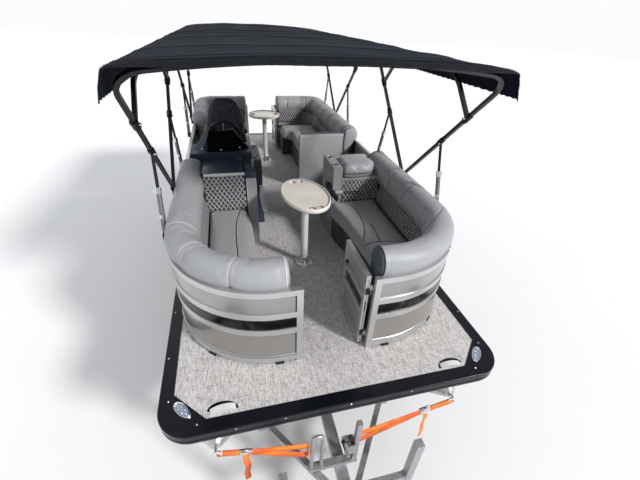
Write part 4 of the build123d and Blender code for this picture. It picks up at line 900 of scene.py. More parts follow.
# Cushions
END_RINGS = (0.82, 0.6, 0.36, 0.14)
CLOTH_FRAMES = 20
CLOTH_PRESSURE = 4.0
QUILT_STEP = 0.0062
WEBBING = 0.0022


def places_of(thing):
    """A mesh's vertices as an array."""
    flat = np.empty(len(thing.data.vertices) * 3, np.float32)
    thing.data.vertices.foreach_get("co", flat)
    return flat.reshape(-1, 3).astype(float)


def move_to(thing, places):
    """Moves a mesh's vertices."""
    thing.data.vertices.foreach_set("co", np.asarray(places, np.float32).ravel())
    thing.data.update()


def swell(thing, sewn, cap):
    """Blows a cushion up as cloth that is held where it is sewn, with no point moved further than the cap."""
    scene = bpy.context.scene
    start = places_of(thing)
    group = thing.vertex_groups.new(name="sewn")
    group.add([int(i) for i in np.nonzero(sewn)[0]], 1.0, "REPLACE")
    cloth = modify(thing, "CLOTH")
    settings = cloth.settings
    settings.quality = 4
    settings.use_pressure = True
    settings.uniform_pressure_force = CLOTH_PRESSURE
    settings.vertex_group_mass = group.name
    settings.effector_weights.gravity = 0
    settings.bending_stiffness = 0.6
    settings.shrink_min = -0.025
    cloth.point_cache.frame_start = 1
    cloth.point_cache.frame_end = CLOTH_FRAMES
    for number in range(1, CLOTH_FRAMES + 1):
        scene.frame_set(number)
    blown = thing.evaluated_get(bpy.context.evaluated_depsgraph_get())
    flat = np.empty(len(start) * 3, np.float32)
    blown.data.vertices.foreach_get("co", flat)
    move = flat.reshape(-1, 3) - start
    if not np.isfinite(move).all():
        raise RuntimeError(f"the cloth of {thing.name} blew up")
    reach = np.linalg.norm(move, axis=1, keepdims=True)
    move *= np.minimum(1.0, cap / np.maximum(reach, 1e-9))
    thing.modifiers.clear()
    thing.vertex_groups.clear()
    scene.frame_set(1)
    move_to(thing, start + move)


def refine(thing):
    """Subdivides a cushion smoothly."""
    modify(thing, "SUBSURF", levels=1, render_levels=1)
    return plain(thing)


def distance_to(places, line):
    """How far each place is from a line of points."""
    nearest = np.full(len(places), 1e9)
    line = np.asarray([tuple(point) for point in line], float)
    for start, end in zip(line[:-1], line[1:]):
        run = end - start
        share = np.clip(((places - start) @ run) / max(run @ run, 1e-12), 0, 1)
        nearest = np.minimum(nearest, np.linalg.norm(places - start - share[:, None] * run, axis=1))
    return nearest


def pinch(thing, lines, depth, width):
    """Draws a cushion's surface in along sewn lines."""
    places = places_of(thing)
    normals = np.empty(len(places) * 3, np.float32)
    thing.data.vertices.foreach_get("normal", normals)
    dip = np.zeros(len(places))
    for line in lines:
        dip = np.maximum(dip, np.exp(-((distance_to(places, line) / width) ** 2)))
    move_to(thing, places - normals.reshape(-1, 3) * (dip * depth)[:, None])


def laid(thing, line, lift=0.0):
    """A line of points brought onto a piece's surface."""
    tree = BVHTree.FromPolygons(
        [vert.co[:] for vert in thing.data.vertices], [face.vertices[:] for face in thing.data.polygons]
    )
    placed = []
    for point in line:
        spot, normal, _, _ = tree.find_nearest(Vector(point))
        placed.append(spot + normal * lift)
    return placed


def welts(name, lines, radius, material, on=None, lift=0.0, closed=False, body=HOME):
    """Piping or a sewn cord along lines, laid on a cushion where one is given."""
    build = Build()
    for line in lines:
        tube_along(laid(on, line, lift) if on else line, radius, 6, closed, build)
    build.piece(name, material, body, "cushion")


def pad_rows(name, rows, cap, sewn_rows, sewn=None, material="vinyl", body=HOME):
    """A swollen cushion over rows of points that go round, held at the sewn rows and places; rings fill its ends."""
    first, last = (
        [ring.mean(0) + (ring - ring.mean(0)) * share for share in END_RINGS] for ring in (rows[0], rows[-1])
    )
    rows = first[::-1] + rows + last
    count, sides = len(rows), len(rows[0])
    faces = ring_faces(count, sides)
    faces += [tuple(range(sides)), tuple(range((count - 1) * sides, count * sides))]
    thing = piece_from(name, np.vstack(rows), faces, material, body)
    held = np.zeros(count * sides, bool)
    for row in sewn_rows:
        start = (len(END_RINGS) + row) * sides
        held[start:start + sides] = True
    if sewn is not None:
        held |= sewn(places_of(thing))
    swell(thing, held, cap)
    return refine(thing)


def slab_cushion(name, outline, low, high, cap, crown, voxel=0.012):
    """A cushion over an outline in plan: remeshed evenly, crowned, blown up from its flat foot, then smoothed."""
    build = Build()
    build.prism([at(x, y, 0)[:2] for x, y in outline], DECK + low, DECK + high, min(0.03, (high - low) / 3))
    thing = build.piece(name, "vinyl", HOME, "cushion", None)
    modify(thing, "REMESH", mode="VOXEL", voxel_size=voxel, adaptivity=0.0, use_smooth_shade=True)
    modify(thing, "SMOOTH", factor=0.5, iterations=4)
    plain(thing)
    places = places_of(thing)
    foot = places[:, 2] < DECK + low + 0.018
    middle = np.array(outline).mean(0)
    reach = np.abs(np.array(outline) - middle).max(0)
    away = np.abs((places[:, :2] - np.array(at(*middle, 0)[:2])) / reach)
    lift = crown * np.clip(1 - away[:, 0] ** 2, 0, 1) * np.clip(1 - away[:, 1] ** 2, 0, 1)
    places[:, 2] += lift * np.clip((places[:, 2] - DECK - low) / (high - low), 0, 1)
    move_to(thing, places)
    swell(thing, foot, cap)
    thing.data.shade_smooth()
    return refine(thing)


def quilted_slab(name, face, size, depth, pitch, fat=0.011):
    """A quilted panel: diamonds raised on the face(u, v), which gives a place and its outward way."""
    across, high = size
    us, vs = spaced(0, across, QUILT_STEP), spaced(0, high, QUILT_STEP)
    front, back, uvs = [], [], []
    for u in us:
        for v in vs:
            place, way = face(u, v)
            rows = [abs(((u + sign * QUILT_SLANT * v) / pitch + 0.5) % 1 - 0.5) for sign in (1, -1)]
            edge = min(u, v, across - u, high - v)
            puff = fat * min(1.0, min(rows) / 0.26) ** 0.6
            rim = depth * (1 - exp(-edge / 0.010))
            front.append(place + way * (rim + puff * min(1.0, edge / 0.02)))
            back.append(place - way * 0.004)
            uvs.append((u, v))
    columns = len(vs)
    count = len(front)
    faces = []
    for i in range(len(us) - 1):
        for j in range(columns - 1):
            a, b = i * columns + j, (i + 1) * columns + j
            faces.append((a, b, b + 1, a + 1))
            faces.append((count + a, count + a + 1, count + b + 1, count + b))
    rim_line = [i * columns for i in range(len(us))]
    rim_line += [(len(us) - 1) * columns + j for j in range(1, columns)]
    rim_line += [i * columns + columns - 1 for i in range(len(us) - 2, -1, -1)]
    rim_line += list(range(columns - 2, 0, -1))
    for a, b in zip(rim_line, rim_line[1:] + rim_line[:1]):
        faces.append((a, b, count + b, count + a))
    thing = piece_from(name, front + back, faces, "quilt", HOME, np.array(uvs + uvs))


ROLL_SEAMS = {
    # runs from the middle of the bow at the roll's outer and inner edge, in metres
    ("front", "starboard"): ((0.75, 0.72), (1.19, 1.15), (1.575, 1.50)),
    ("front", "port"): ((1.575, 1.08), (1.93, 1.90), (2.27, 2.24), (2.60, 2.57)),
    ("aft", "port"): tuple((run, run - 0.02) for run in (4.30, 4.68, 5.06, 5.44, 5.85, 6.35, 6.75)),
    ("aft", "starboard"): tuple((run, run - 0.02) for run in (5.30, 5.75, 6.35, 6.75)),
}
ROLL_SPANS = {
    # run where the roll starts and ends
    ("front", "starboard"): (0.342, run_at(2.46)),
    ("front", "port"): (0.288, run_at(2.46)),
    ("aft", "port"): (run_at(3.52), run_stern(0.287)),
    ("aft", "starboard"): (run_at(4.51), run_stern(0.292)),
}
ROLL_END = 0.020


def roll_section(run):
    """The bolster's section as insets and heights: fat, flat where it rests on the rail, set back at the bow."""
    ease = min(max((run - BOW_FLAT - 0.35) / 0.9, 0.0), 1.0)
    edge = 0.027 * (1 - ease) - 0.002
    return (
        (0.047, 0.600), (0.047, 0.690), (edge + 0.012, 0.706), (edge - 0.001, 0.735), (edge - 0.002, 0.775),
        (edge + 0.006, 0.820), (edge + 0.045, 0.862), (0.110, 0.876), (0.172, 0.862), (0.216, 0.815),
        (0.229, 0.740), (0.222, 0.675), (0.200, 0.610), (0.130, 0.588),
    )


def roll_ring(sign, run, shrink=1.0, shift=0.0, count=32):
    """One ring of the bolster in the frame."""
    section = rounded(roll_section(run), count)
    middle = section.mean(0)
    section = middle + (section - middle) * shrink
    ring = []
    for inset, height in section:
        x, y, out = fence_line(run, inset)
        ring.append(at(sign * (x - out[1] * shift), y + out[0] * shift, height))
    return np.array(ring)


def seam_ring(sign, seam):
    """The line of a seam round the bolster, slanted from its outer to its inner edge."""
    outer, inner = seam
    line = []
    for inset, height in rounded(roll_section((outer + inner) / 2), 40):
        share = min(max(inset / 0.245, 0.0), 1.0)
        line.append(on_fence(sign, outer + (inner - outer) * share, inset, height))
    return line


class BOAT_OT_bolsters(bpy.types.Operator):
    """Makes the padded rolls on the fence, with their seams and end welts"""

    bl_idname = "boat.bolsters"
    bl_label = "Bolsters"

    def execute(self, context):
        sizes = context.scene.boat_sizes
        for (end, side), (start, stop) in ROLL_SPANS.items():
            sign = dict(SIDES)[side]
            runs = spaced(start + ROLL_END, stop - ROLL_END, 0.015)
            turns = [(sin(turn * pi / 2), cos(turn * pi / 2)) for turn in (0.0, 0.35, 0.7, 1.0)]
            first, last = (
                [roll_ring(sign, run, 1 - 0.12 * (1 - rise), way * ROLL_END * reach) for rise, reach in turns]
                for run, way in ((runs[0], -1), (runs[-1], 1))
            )
            rows = first + [roll_ring(sign, run) for run in runs[1:-1]] + last[::-1]
            seams = ROLL_SEAMS[end, side]
            straight = [seam for seam in seams if abs(seam[0] - seam[1]) < 0.1]
            sewn_rows = [3, len(rows) - 4]
            sewn_rows += [3 + int(np.argmin(np.abs(runs - sum(seam) / 2))) for seam in straight]
            name = f"bolster_{end}_{side}"
            roll = pad_rows(name, rows, sizes.cushion_swell, sewn_rows, lambda p: p[:, 2] < DECK + 0.615)
            lines = [seam_ring(sign, seam) for seam in seams]
            pinch(roll, [line + line[:1] for line in lines], sizes.seam_depth, sizes.seam_width)
            ends = [roll_ring(sign, run, 1.0, 0.0, 48) for run in (runs[0], runs[-1])]
            # Painted light on the welts: the same cords are pale thread on starboard as painted light and black on port
            # as painted shade.
            cord = "thread" if side == "starboard" else "vinyl_dark"
            welts(f"{name}_welts", ends, sizes.piping_radius, cord, roll, 0.0015, True)
            welts(f"{name}_seams", lines, 0.0026, cord, roll, -0.0004, True)
            # Painted shade: the port front roll's forward end faces take a dark navy copy of the grey vinyl.
            if (end, side) == ("front", "port"):
                roll.data.materials.append(MATERIALS["vinyl_navy"])
                limit = roll_ring(sign, runs[0]).mean(0)[0] + 0.001
                for face in roll.data.polygons:
                    if face.center.x < limit and face.center.y < BOW + 1:
                        face.material_index = 1
            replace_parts(roll, f"lounge_roll_{end}_{side}")
        return {"FINISHED"}


class BOAT_OT_backs(bpy.types.Operator):
    """Makes the padded backs under the rolls and their quilted panels"""

    bl_idname = "boat.backs"
    bl_label = "Padded backs"

    def execute(self, context):
        pitch = context.scene.boat_sizes.quilt_pitch
        table = (
            # piece, side, start and end of the pad, in runs
            ("front_port", 1, 0.36, run_at(BACKREST)),
            ("front_starboard", -1, 0.40, run_at(BACKREST)),
            ("aft_port", 1, run_at(3.53), run_stern(0.31)),
            ("aft_starboard", -1, run_at(4.53), run_stern(0.31)),
        )
        quilts = (
            # piece, side, start, end, height of the panel, inset at its foot, how far it leans back over its height
            ("front_port", 1, run_at(0.98), run_at(2.085), 0.194, 0.250, 0.050),
            ("front_starboard", -1, run_at(1.24), run_at(2.085), 0.194, 0.270, 0.046),
            ("aft_port", 1, run_at(3.60), run_at(5.15), 0.184, 0.238, 0.042),
            ("aft_starboard", -1, run_at(4.60), run_at(5.15), 0.184, 0.238, 0.042),
            ("stern_port", 1, run_stern(0.74), run_stern(0.315), 0.234, 0.262, 0.006),
            ("stern_starboard", -1, run_stern(0.74), run_stern(0.315), 0.234, 0.262, 0.006),
        )
        section = rounded(
            ((0.05, 0.32), (0.05, 0.60), (0.12, 0.612), (0.190, 0.600), (0.205, 0.52), (0.220, 0.44), (0.215, 0.32)),
            22,
        )
        for name, sign, start, stop in table:
            rows = [
                np.array([on_fence(sign, run, *place) for place in section]) for run in spaced(start, stop, 0.03)
            ]
            pad = pad_rows(f"back_pad_{name}", rows, 0.006, (0, len(rows) - 1), lambda p: p[:, 2] < DECK + 0.40)
        for name, sign, start, stop, high, foot, lean in quilts:

            def face(u, v, sign=sign, start=start, high=high, foot=foot, lean=lean):
                x, y, out = fence_line(start + u, foot - 0.020 - lean * v / high)
                return at(sign * x, y, 0.430 + v), Vector((-sign * out[0], -out[1], 0.25)).normalized()

            quilted_slab(f"quilt_{name}", face, (stop - start, high), 0.008, pitch, 0.006)
        return {"FINISHED"}


class BOAT_OT_seats(bpy.types.Operator):
    """Makes the lounges' seat cushions with their sewn channels, cords and thread"""

    bl_idname = "boat.seats"
    bl_label = "Seat cushions"

    def execute(self, context):
        sizes = context.scene.boat_sizes
        table = (
            # piece, side, aisle edge from bow to stern or corners of the outline in plan, seams
            (
                "front_starboard", -1,
                ((0.50, 0.66), (0.495, 1.0), (0.498, 1.2), (0.477, 1.68), (0.505, 1.88), (0.523, BACKREST)),
                (((0.62, 0.70), (0.66, 1.22), (0.653, 1.744), (0.585, BACKREST)),),
            ),
            (
                "front_port", 1,
                ((0.50, 0.66), (0.49, 1.0), (0.476, 1.29), (0.441, 1.70), (0.385, 1.95), (0.38, BACKREST)),
                (
                    ((0.47, 1.24), (0.513, 1.305), (0.579, 1.456), (0.61, 1.72), (0.60, 1.93), (0.43, BACKREST)),
                    ((0.46, 1.19), (0.62, 1.18), (0.86, 1.15)),
                    ((0.658, 1.51), (0.645, 1.34), (0.626, 1.185)),
                ),
            ),
            (
                "aft_port", 1,
                ((0.435, 3.52), (0.916, 3.52), (0.916, 5.20), (0.29, 5.20), (0.29, 4.86), (0.435, 4.84)),
                (((0.60, 3.54), (0.60, 4.9)), ((0.44, 4.1), (0.91, 4.1)), ((0.30, 4.88), (0.91, 4.88))),
            ),
            (
                "aft_starboard", -1,
                ((0.295, 4.51), (0.916, 4.51), (0.916, 5.20), (0.295, 5.20)),
                (((0.30, 4.86), (0.91, 4.86)), ((0.60, 4.52), (0.60, 5.19))),
            ),
        )
        for name, sign, edge, seams in table:
            if name.startswith("front"):
                runs = spaced(run_at(BACKREST), BOW_FLAT + radians(14) * FRONT_RADIUS, 0.03)
                plan = [*eased(edge, 0.03), *(fence_line(run, 0.252)[:2] for run in runs)]
                crown = 0.010
            else:
                plan = [point for pair in zip(edge, edge[1:] + edge[:1]) for point in np.linspace(*pair, 7)[:-1]]
                crown = 0.008
            outline = [(sign * x, y) for x, y in rounded(plan, 90)]
            seat = slab_cushion(f"seat_{name}", outline, SEAT_FOOT, SEAT_TOP, sizes.cushion_swell, crown)
            self.sew(seat, name, [[at(sign * x, y, 0.452) for x, y in eased(seam, 0.02)] for seam in seams], sizes)
            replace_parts(seat, f"lounge_seat_{name}")
        return {"FINISHED"}

    def sew(self, seat, name, lines, sizes):
        """Draws the seams in, and lays their cords and the thread beside them."""
        pinch(seat, lines, 0.010, sizes.seam_width)
        welts(f"seat_{name}_seams", lines, 0.0042, "vinyl_dark", seat, 0.0005)
        beside = []
        for line in lines:
            for shift in (-0.012, 0.012):
                moved = []
                for i, point in enumerate(line):
                    way = line[min(i + 1, len(line) - 1)] - line[max(i - 1, 0)]
                    moved.append(point + Vector((-way.y, way.x, 0)).normalized() * shift)
                beside.append(laid(seat, moved, 0.0006))
        repeat(
            f"seat_{name}_thread", "stitch", beside, "thread", slot="cushion", pitch=0.011, radius=0.0011, length=0.007
        )


class BOAT_OT_backrests(bpy.types.Operator):
    """Makes the two backrests behind the front lounges: shelves, headrest, quilted faces and the arm columns"""

    bl_idname = "boat.backrests"
    bl_label = "Backrests and arms"

    def execute(self, context):
        sizes = context.scene.boat_sizes
        start, stop = 2.062, 2.498
        inner, outer = 0.518, 0.912
        port = Build()
        port.box(at(inner, start + 0.006, 0.0), at(0.932, stop, 0.712), 0.012)
        port.box(at(inner, start + 0.345, 0.68), at(outer, stop, 0.834), 0.016)
        body = port.piece("backrest_body_port", "vinyl", slot="cushion")
        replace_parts(body, "lounge_back_front_port")
        outline = [
            (0.532, 2.062), (0.60, 2.062), (0.68, 2.062),
            *((0.742 + 0.17 * cos(angle), 2.232 + 0.17 * sin(angle)) for angle in np.linspace(-pi / 2, pi / 2, 15)),
            (0.68, 2.402), (0.532, 2.402), (0.532, 2.23),
        ]
        rest = slab_cushion("headrest_port", outline, 0.716, 0.846, 0.010, 0.010, 0.010)
        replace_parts(rest, "lounge_back_front_port")
        edge = [at(x, y, 0.77) for x, y in rounded(outline, 80, 1)]
        welts("headrest_port_welt", [edge], sizes.piping_radius, "vinyl_dark", rest, 0.001, True)

        shelf = Build()
        shelf.box(at(-0.932, start + 0.040, 0.0), at(-inner, stop, 0.800), 0.008)
        shelf.box(at(-0.932, start + 0.036, 0.800), at(-inner, stop, 0.836), 0.010)
        for line in (0.64, 0.585):
            shelf.box(at(-line - 0.0015, start + 0.06, 0.8355), at(-line + 0.0015, stop - 0.10, 0.838), index=1)
        for y in (start + 0.06, stop - 0.10):
            shelf.box(at(-0.64, y - 0.0015, 0.8355), at(-0.585, y + 0.0015, 0.838), index=1)
        shelf.ring(at(-0.548, stop - 0.055, 0.838), (0, 1, 0), 0.020, 0.0035, 20, 8, 2, pi)
        body = shelf.piece("backrest_shelf_starboard", ["gel", "black", "sleeve"], slot="console")
        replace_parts(body, "lounge_back_front_starboard")
        section = ((0.004, 0.808), (0.002, 0.834), (0.012, 0.842), (0.030, 0.840), (0.036, 0.833), (0.036, 0.808))
        rows = [
            np.array([at(x, start + y, z) for y, z in rounded(section, 18)]) for x in spaced(-inner, -outer, 0.025)
        ]
        strip = pad_rows("backrest_top_strip", rows, 0.003, (0, len(rows) - 1), None, "vinyl_pale")
        low = 0.428
        for sign, name, top, reach in ((1, "port", 0.715, 0.950), (-1, "starboard", 0.810, 0.930)):

            def face(u, v, sign=sign, reach=reach):
                x = -(reach - u) if sign < 0 else inner + u
                return at(x, start + 0.030 * v / 0.34, low + v), Vector((0, -1, 0.10)).normalized()

            quilted_slab(f"quilt_backrest_{name}", face, (reach - inner, top - low), 0.010, sizes.quilt_pitch)
        self.panel()
        self.arms()
        return {"FINISHED"}

    def panel(self):
        """The padded panel on the front of the aft port lounge, and the roll's end over it, with their piping."""
        slab = Build()
        slab.box(at(0.295, 3.428, 0.018), at(1.045, 3.453, 0.795), 0.010, 3)
        pad = slab.piece("lounge_front_panel", "vinyl", slot="cushion")
        upright = [at(0.305, 3.4285, z) for z in spaced(0.04, 0.785, 0.05)]
        welts("lounge_front_panel_welt", [upright], 0.0042, "vinyl_dark")
        # The lip's welt is a real bead; its pale vinyl is a painted highlight along the panel's top edge.
        level = [at(x, 3.4285, 0.768) for x in spaced(0.31, 0.95, 0.05)]
        welts("lounge_front_panel_lip_painted_highlight", [level], 0.0030, "vinyl_pale")
        shape = (
            (0.948, 0.525), (0.948, 0.815), (0.985, 0.860), (1.047, 0.876), (1.100, 0.864), (1.138, 0.825),
            (1.146, 0.775), (1.138, 0.712), (1.098, 0.680), (1.085, 0.630), (1.030, 0.545), (0.985, 0.502),
        )
        slices = (
            # aft of the deck's front edge, share of the shape
            (3.409, 0.90), (3.411, 0.95), (3.416, 0.985), (3.425, 1.0), (3.45, 1.0), (3.48, 1.0), (3.515, 1.0),
            (3.535, 0.99),
        )
        outline = rounded(shape, 44)
        middle = outline.mean(0)
        rows = [np.array([at(x, y, z) for x, z in middle + (outline - middle) * share]) for y, share in slices]
        end = pad_rows("lounge_roll_end", rows, 0.006, (3, 7))
        welts("lounge_roll_end_welt", [rows[3]], 0.0038, "vinyl_dark", end, 0.001, True)

    def arms(self):
        """Cup liners, the arm pads with their pivots and the small rail parts on the arm columns."""
        chrome = Build()
        for x, y in ((0.46, 2.17), (0.46, 2.40), (-0.46, 2.23)):
            chrome.ring(at(x, y, 0.8405), (0, 0, 1), 0.0415, 0.0035, 32, 8)
            chrome.rod(at(x, y, 0.7705), at(x, y, 0.7725), 0.0385, sides=28)
            wall = [
                [
                    chrome.mesh.verts.new(at(x + 0.0388 * cos(tau * j / 28), y + 0.0388 * sin(tau * j / 28), height))
                    for j in range(28)
                ]
                for height in (0.772, 0.841)
            ]
            for j in range(28):
                k = (j + 1) % 28
                chrome.mesh.faces.new((wall[0][j], wall[0][k], wall[1][k], wall[1][j]))
        chrome.piece("cup_liners", "steel", slot="arm")
        last = 2.24
        for name, sign, x, material, half_width, first in (
            ("port", 1, 0.385, "black", 0.024, 1.80), ("starboard", -1, 0.352, "vinyl", 0.036, 1.66),
        ):
            rows = []
            for y in spaced(first, last, 0.02):
                half = half_width * round_off(min(y - first, last - y), 0.04, 0.04)
                shape = (
                    (-half, -0.020), (-half, 0.016), (-half * 0.6, 0.026), (half * 0.6, 0.026), (half, 0.016),
                    (half, -0.020),
                )
                rows.append(np.array([at(sign * (x + dx), y, 0.60 + dz) for dx, dz in rounded(shape, 16)]))
            pad = pad_rows(f"armrest_{name}", rows, 0.004, (0, len(rows) - 1), None, material)
            pivot = Build()
            pivot.rod(at(sign * 0.409, 2.18, 0.60), at(sign * 0.366, 2.18, 0.60), 0.026, sides=28)
            pivot.rod(at(sign * 0.395, 2.18, 0.60), at(sign * 0.40, 2.18, 0.60), 0.034, sides=28)
            if sign > 0:
                pivot.rod(at(0.515, 2.03, 0.575), at(0.425, 2.03, 0.575), 0.028, sides=28, index=1)
                pivot.rod(at(0.425, 2.03, 0.575), at(0.39, 2.03, 0.60), 0.014, sides=16)
                pivot.rod(at(0.515, 2.03, 0.575), at(0.70, 2.01, 0.575), 0.006, sides=12)
            pivot.piece(f"armrest_pivot_{name}", ["black", "moulded"], slot="arm")
        trim = Build()
        for low, high, bevel, index in (
            ((-0.5115, 2.056, 0.8395), (-0.4085, 2.5005, 0.8435), 0.0015, 0),
            ((-0.5115, 2.056, 0.785), (-0.4085, 2.0625, 0.8435), 0.0015, 0),
            ((-0.4105, 2.056, 0.10), (-0.4065, 2.5005, 0.8435), 0.0015, 0),
            ((-0.5100, 2.0545, 0.10), (-0.5035, 2.0605, 0.785), 0.002, 1),
            ((-0.4165, 2.0545, 0.10), (-0.4100, 2.0605, 0.785), 0.002, 1),
        ):
            trim.box(at(*low), at(*high), bevel, index=index)
        trim.piece("arm_column_edges", ["gel", "vinyl_pale"], slot="arm")


def rounded_ring(half, depth, power, count):
    """Points round a superellipse."""
    ring = []
    for j in range(count):
        c, s = cos(tau * j / count), sin(tau * j / count)
        ring.append((
            half * abs(c) ** (2 / power) * (1 if c >= 0 else -1),
            depth * abs(s) ** (2 / power) * (1 if s >= 0 else -1),
        ))
    return ring


class BOAT_OT_chair(bpy.types.Operator):
    """Makes the helm chair with its sewn back, headrest seam, seat, arms and swivel"""

    bl_idname = "boat.chair"
    bl_label = "Helm chair"

    def execute(self, context):
        body = "helm_chair"
        low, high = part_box(body)
        x0 = (low.x + high.x) / 2
        front = low.y

        def place(x, y, z):
            return x0 + x, front + y, DECK + z

        lean = radians(9)
        foot = (0.40, 0.50)
        tall = (high.z - DECK + 0.022 - foot[1]) / cos(lean)
        profile = ((0, 0.210), (0.12, 0.248), (0.5, 0.262), (0.76, 0.232), (0.90, 0.178), (0.97, 0.130), (1.0, 0.09))
        rows = []
        for share in np.concatenate((spaced(0, 0.9, 0.022), [0.93, 0.955, 0.975, 0.99, 0.999])):
            half = float(np.interp(share, *zip(*profile)))
            fade = sqrt(max(1 - max((share - 0.80) / 0.2, 0) ** 2.4, 0.02))
            depth = 0.055 * fade * (1 - 0.15 * share)
            y = foot[0] + 0.05 + share * tall * sin(lean)
            z = foot[1] + share * (tall * cos(lean) + 0.012)
            rows.append(np.array([
                place(dx, y + dy - 0.020 * (dx / 0.24) ** 2, z) for dx, dy in rounded_ring(half, depth, 2.9, 56)
            ]))
        back = pad_rows("chair_back", rows, 0.008, (0,), None, "helm_vinyl", body)
        centre = foot[1] + tall * 0.985 * cos(lean) - 0.02
        arch_y = foot[0] - 0.02 + 0.9 * tall * sin(lean)
        lines = [[place(0.150 * cos(a), arch_y, centre + 0.155 * sin(a)) for a in np.linspace(pi, tau, 25)]]
        for x, rise in ((-0.155, 0.80), (-0.055, 0.70), (0.055, 0.70), (0.155, 0.80)):
            lines.append([
                place(x, foot[0] - 0.02 + s * tall * sin(lean), foot[1] + s * tall) for s in spaced(0.06, rise, 0.03)
            ])
        pinch(back, lines, 0.010, 0.010)
        welts("chair_back_seams", lines, 0.0025, "black", back, body=body)
        repeat(
            "chair_back_thread", "stitch",
            [laid(back, [(p[0] + 0.009, p[1], p[2]) for p in line], 0.0006) for line in lines], "thread_dark",
            body, "cushion", pitch=0.011, radius=0.0010, length=0.007,
        )
        rows = []
        for y in np.concatenate(([0.003, 0.012], spaced(0.03, 0.40, 0.02))):
            fade = round_off(y, 0.06, 0.03)
            rows.append(np.array([
                place(dx, y, 0.575 - 0.02 * (1 - fade) + dz * (1.15 if dz > 0 else 0.95))
                for dx, dz in rounded_ring(0.222 * (0.93 + 0.07 * fade), 0.062 * fade, 3.2, 52)
            ]))
        seat = pad_rows(
            "chair_seat", rows, 0.010, (len(rows) - 1,), lambda p: p[:, 2] < DECK + 0.53, "helm_vinyl", body
        )
        seams = [[place(x, y, 0.66) for y in spaced(0.02, 0.37, 0.02)] for x in (-0.13, 0.13)]
        seams.append([place(x, 0.13, 0.66) for x in spaced(-0.13, 0.13, 0.02)])
        seams = [laid(seat, line) for line in seams]
        pinch(seat, seams, 0.008, 0.010)
        welts("chair_seat_seams", seams, 0.0025, "black", seat, body=body)
        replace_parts(seat, "helm_chair")
        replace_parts(back, "helm_chair")
        base = Build()
        for name, sign in SIDES:
            x = sign * 0.25
            rows = []
            for y in spaced(0.055, 0.385, 0.015):
                fade = round_off(min(y - 0.055, 0.385 - y), 0.034, 0.05)
                ring = rounded_ring(0.033 * fade, 0.030 * fade, 2.6, 24)
                rows.append(np.array([place(x + dx, y, 0.821 + dz) for dx, dz in ring]))
            arm = pad_rows(f"chair_arm_{name}", rows, 0.004, (0,), None, "helm_vinyl", body)
            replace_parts(arm, "helm_chair")
            post = ((0.37, 0.60), (0.375, 0.70), (0.365, 0.77), (0.30, 0.796), (0.14, 0.797))
            tube_along(eased([place(x, *point) for point in post], 0.02), 0.014, 12, False, base)
            base.box(place(x - 0.022, 0.33, 0.575), place(x + 0.022, 0.41, 0.63), 0.006)
            base.rod(place(x - sign * 0.03, 0.37, 0.60), place(x + sign * 0.024, 0.37, 0.60), 0.02, index=1)
        base.box(place(-0.20, 0.05, 0.500), place(0.20, 0.42, 0.520), 0.006)
        for x in (-0.13, 0.13):
            base.box(place(x - 0.018, 0.03, 0.478), place(x + 0.018, 0.40, 0.501), 0.003, index=1)
        base.rod(place(0, 0.24, 0.4515), place(0, 0.24, 0.480), 0.115, 0.10, 40)
        base.rod(place(0.16, 0.02, 0.485), place(0.16, 0.12, 0.485), 0.006, index=1)
        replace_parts(base.piece("chair_frame", ["black", "steel"], body, "cushion"), "helm_chair")
        return {"FINISHED"}


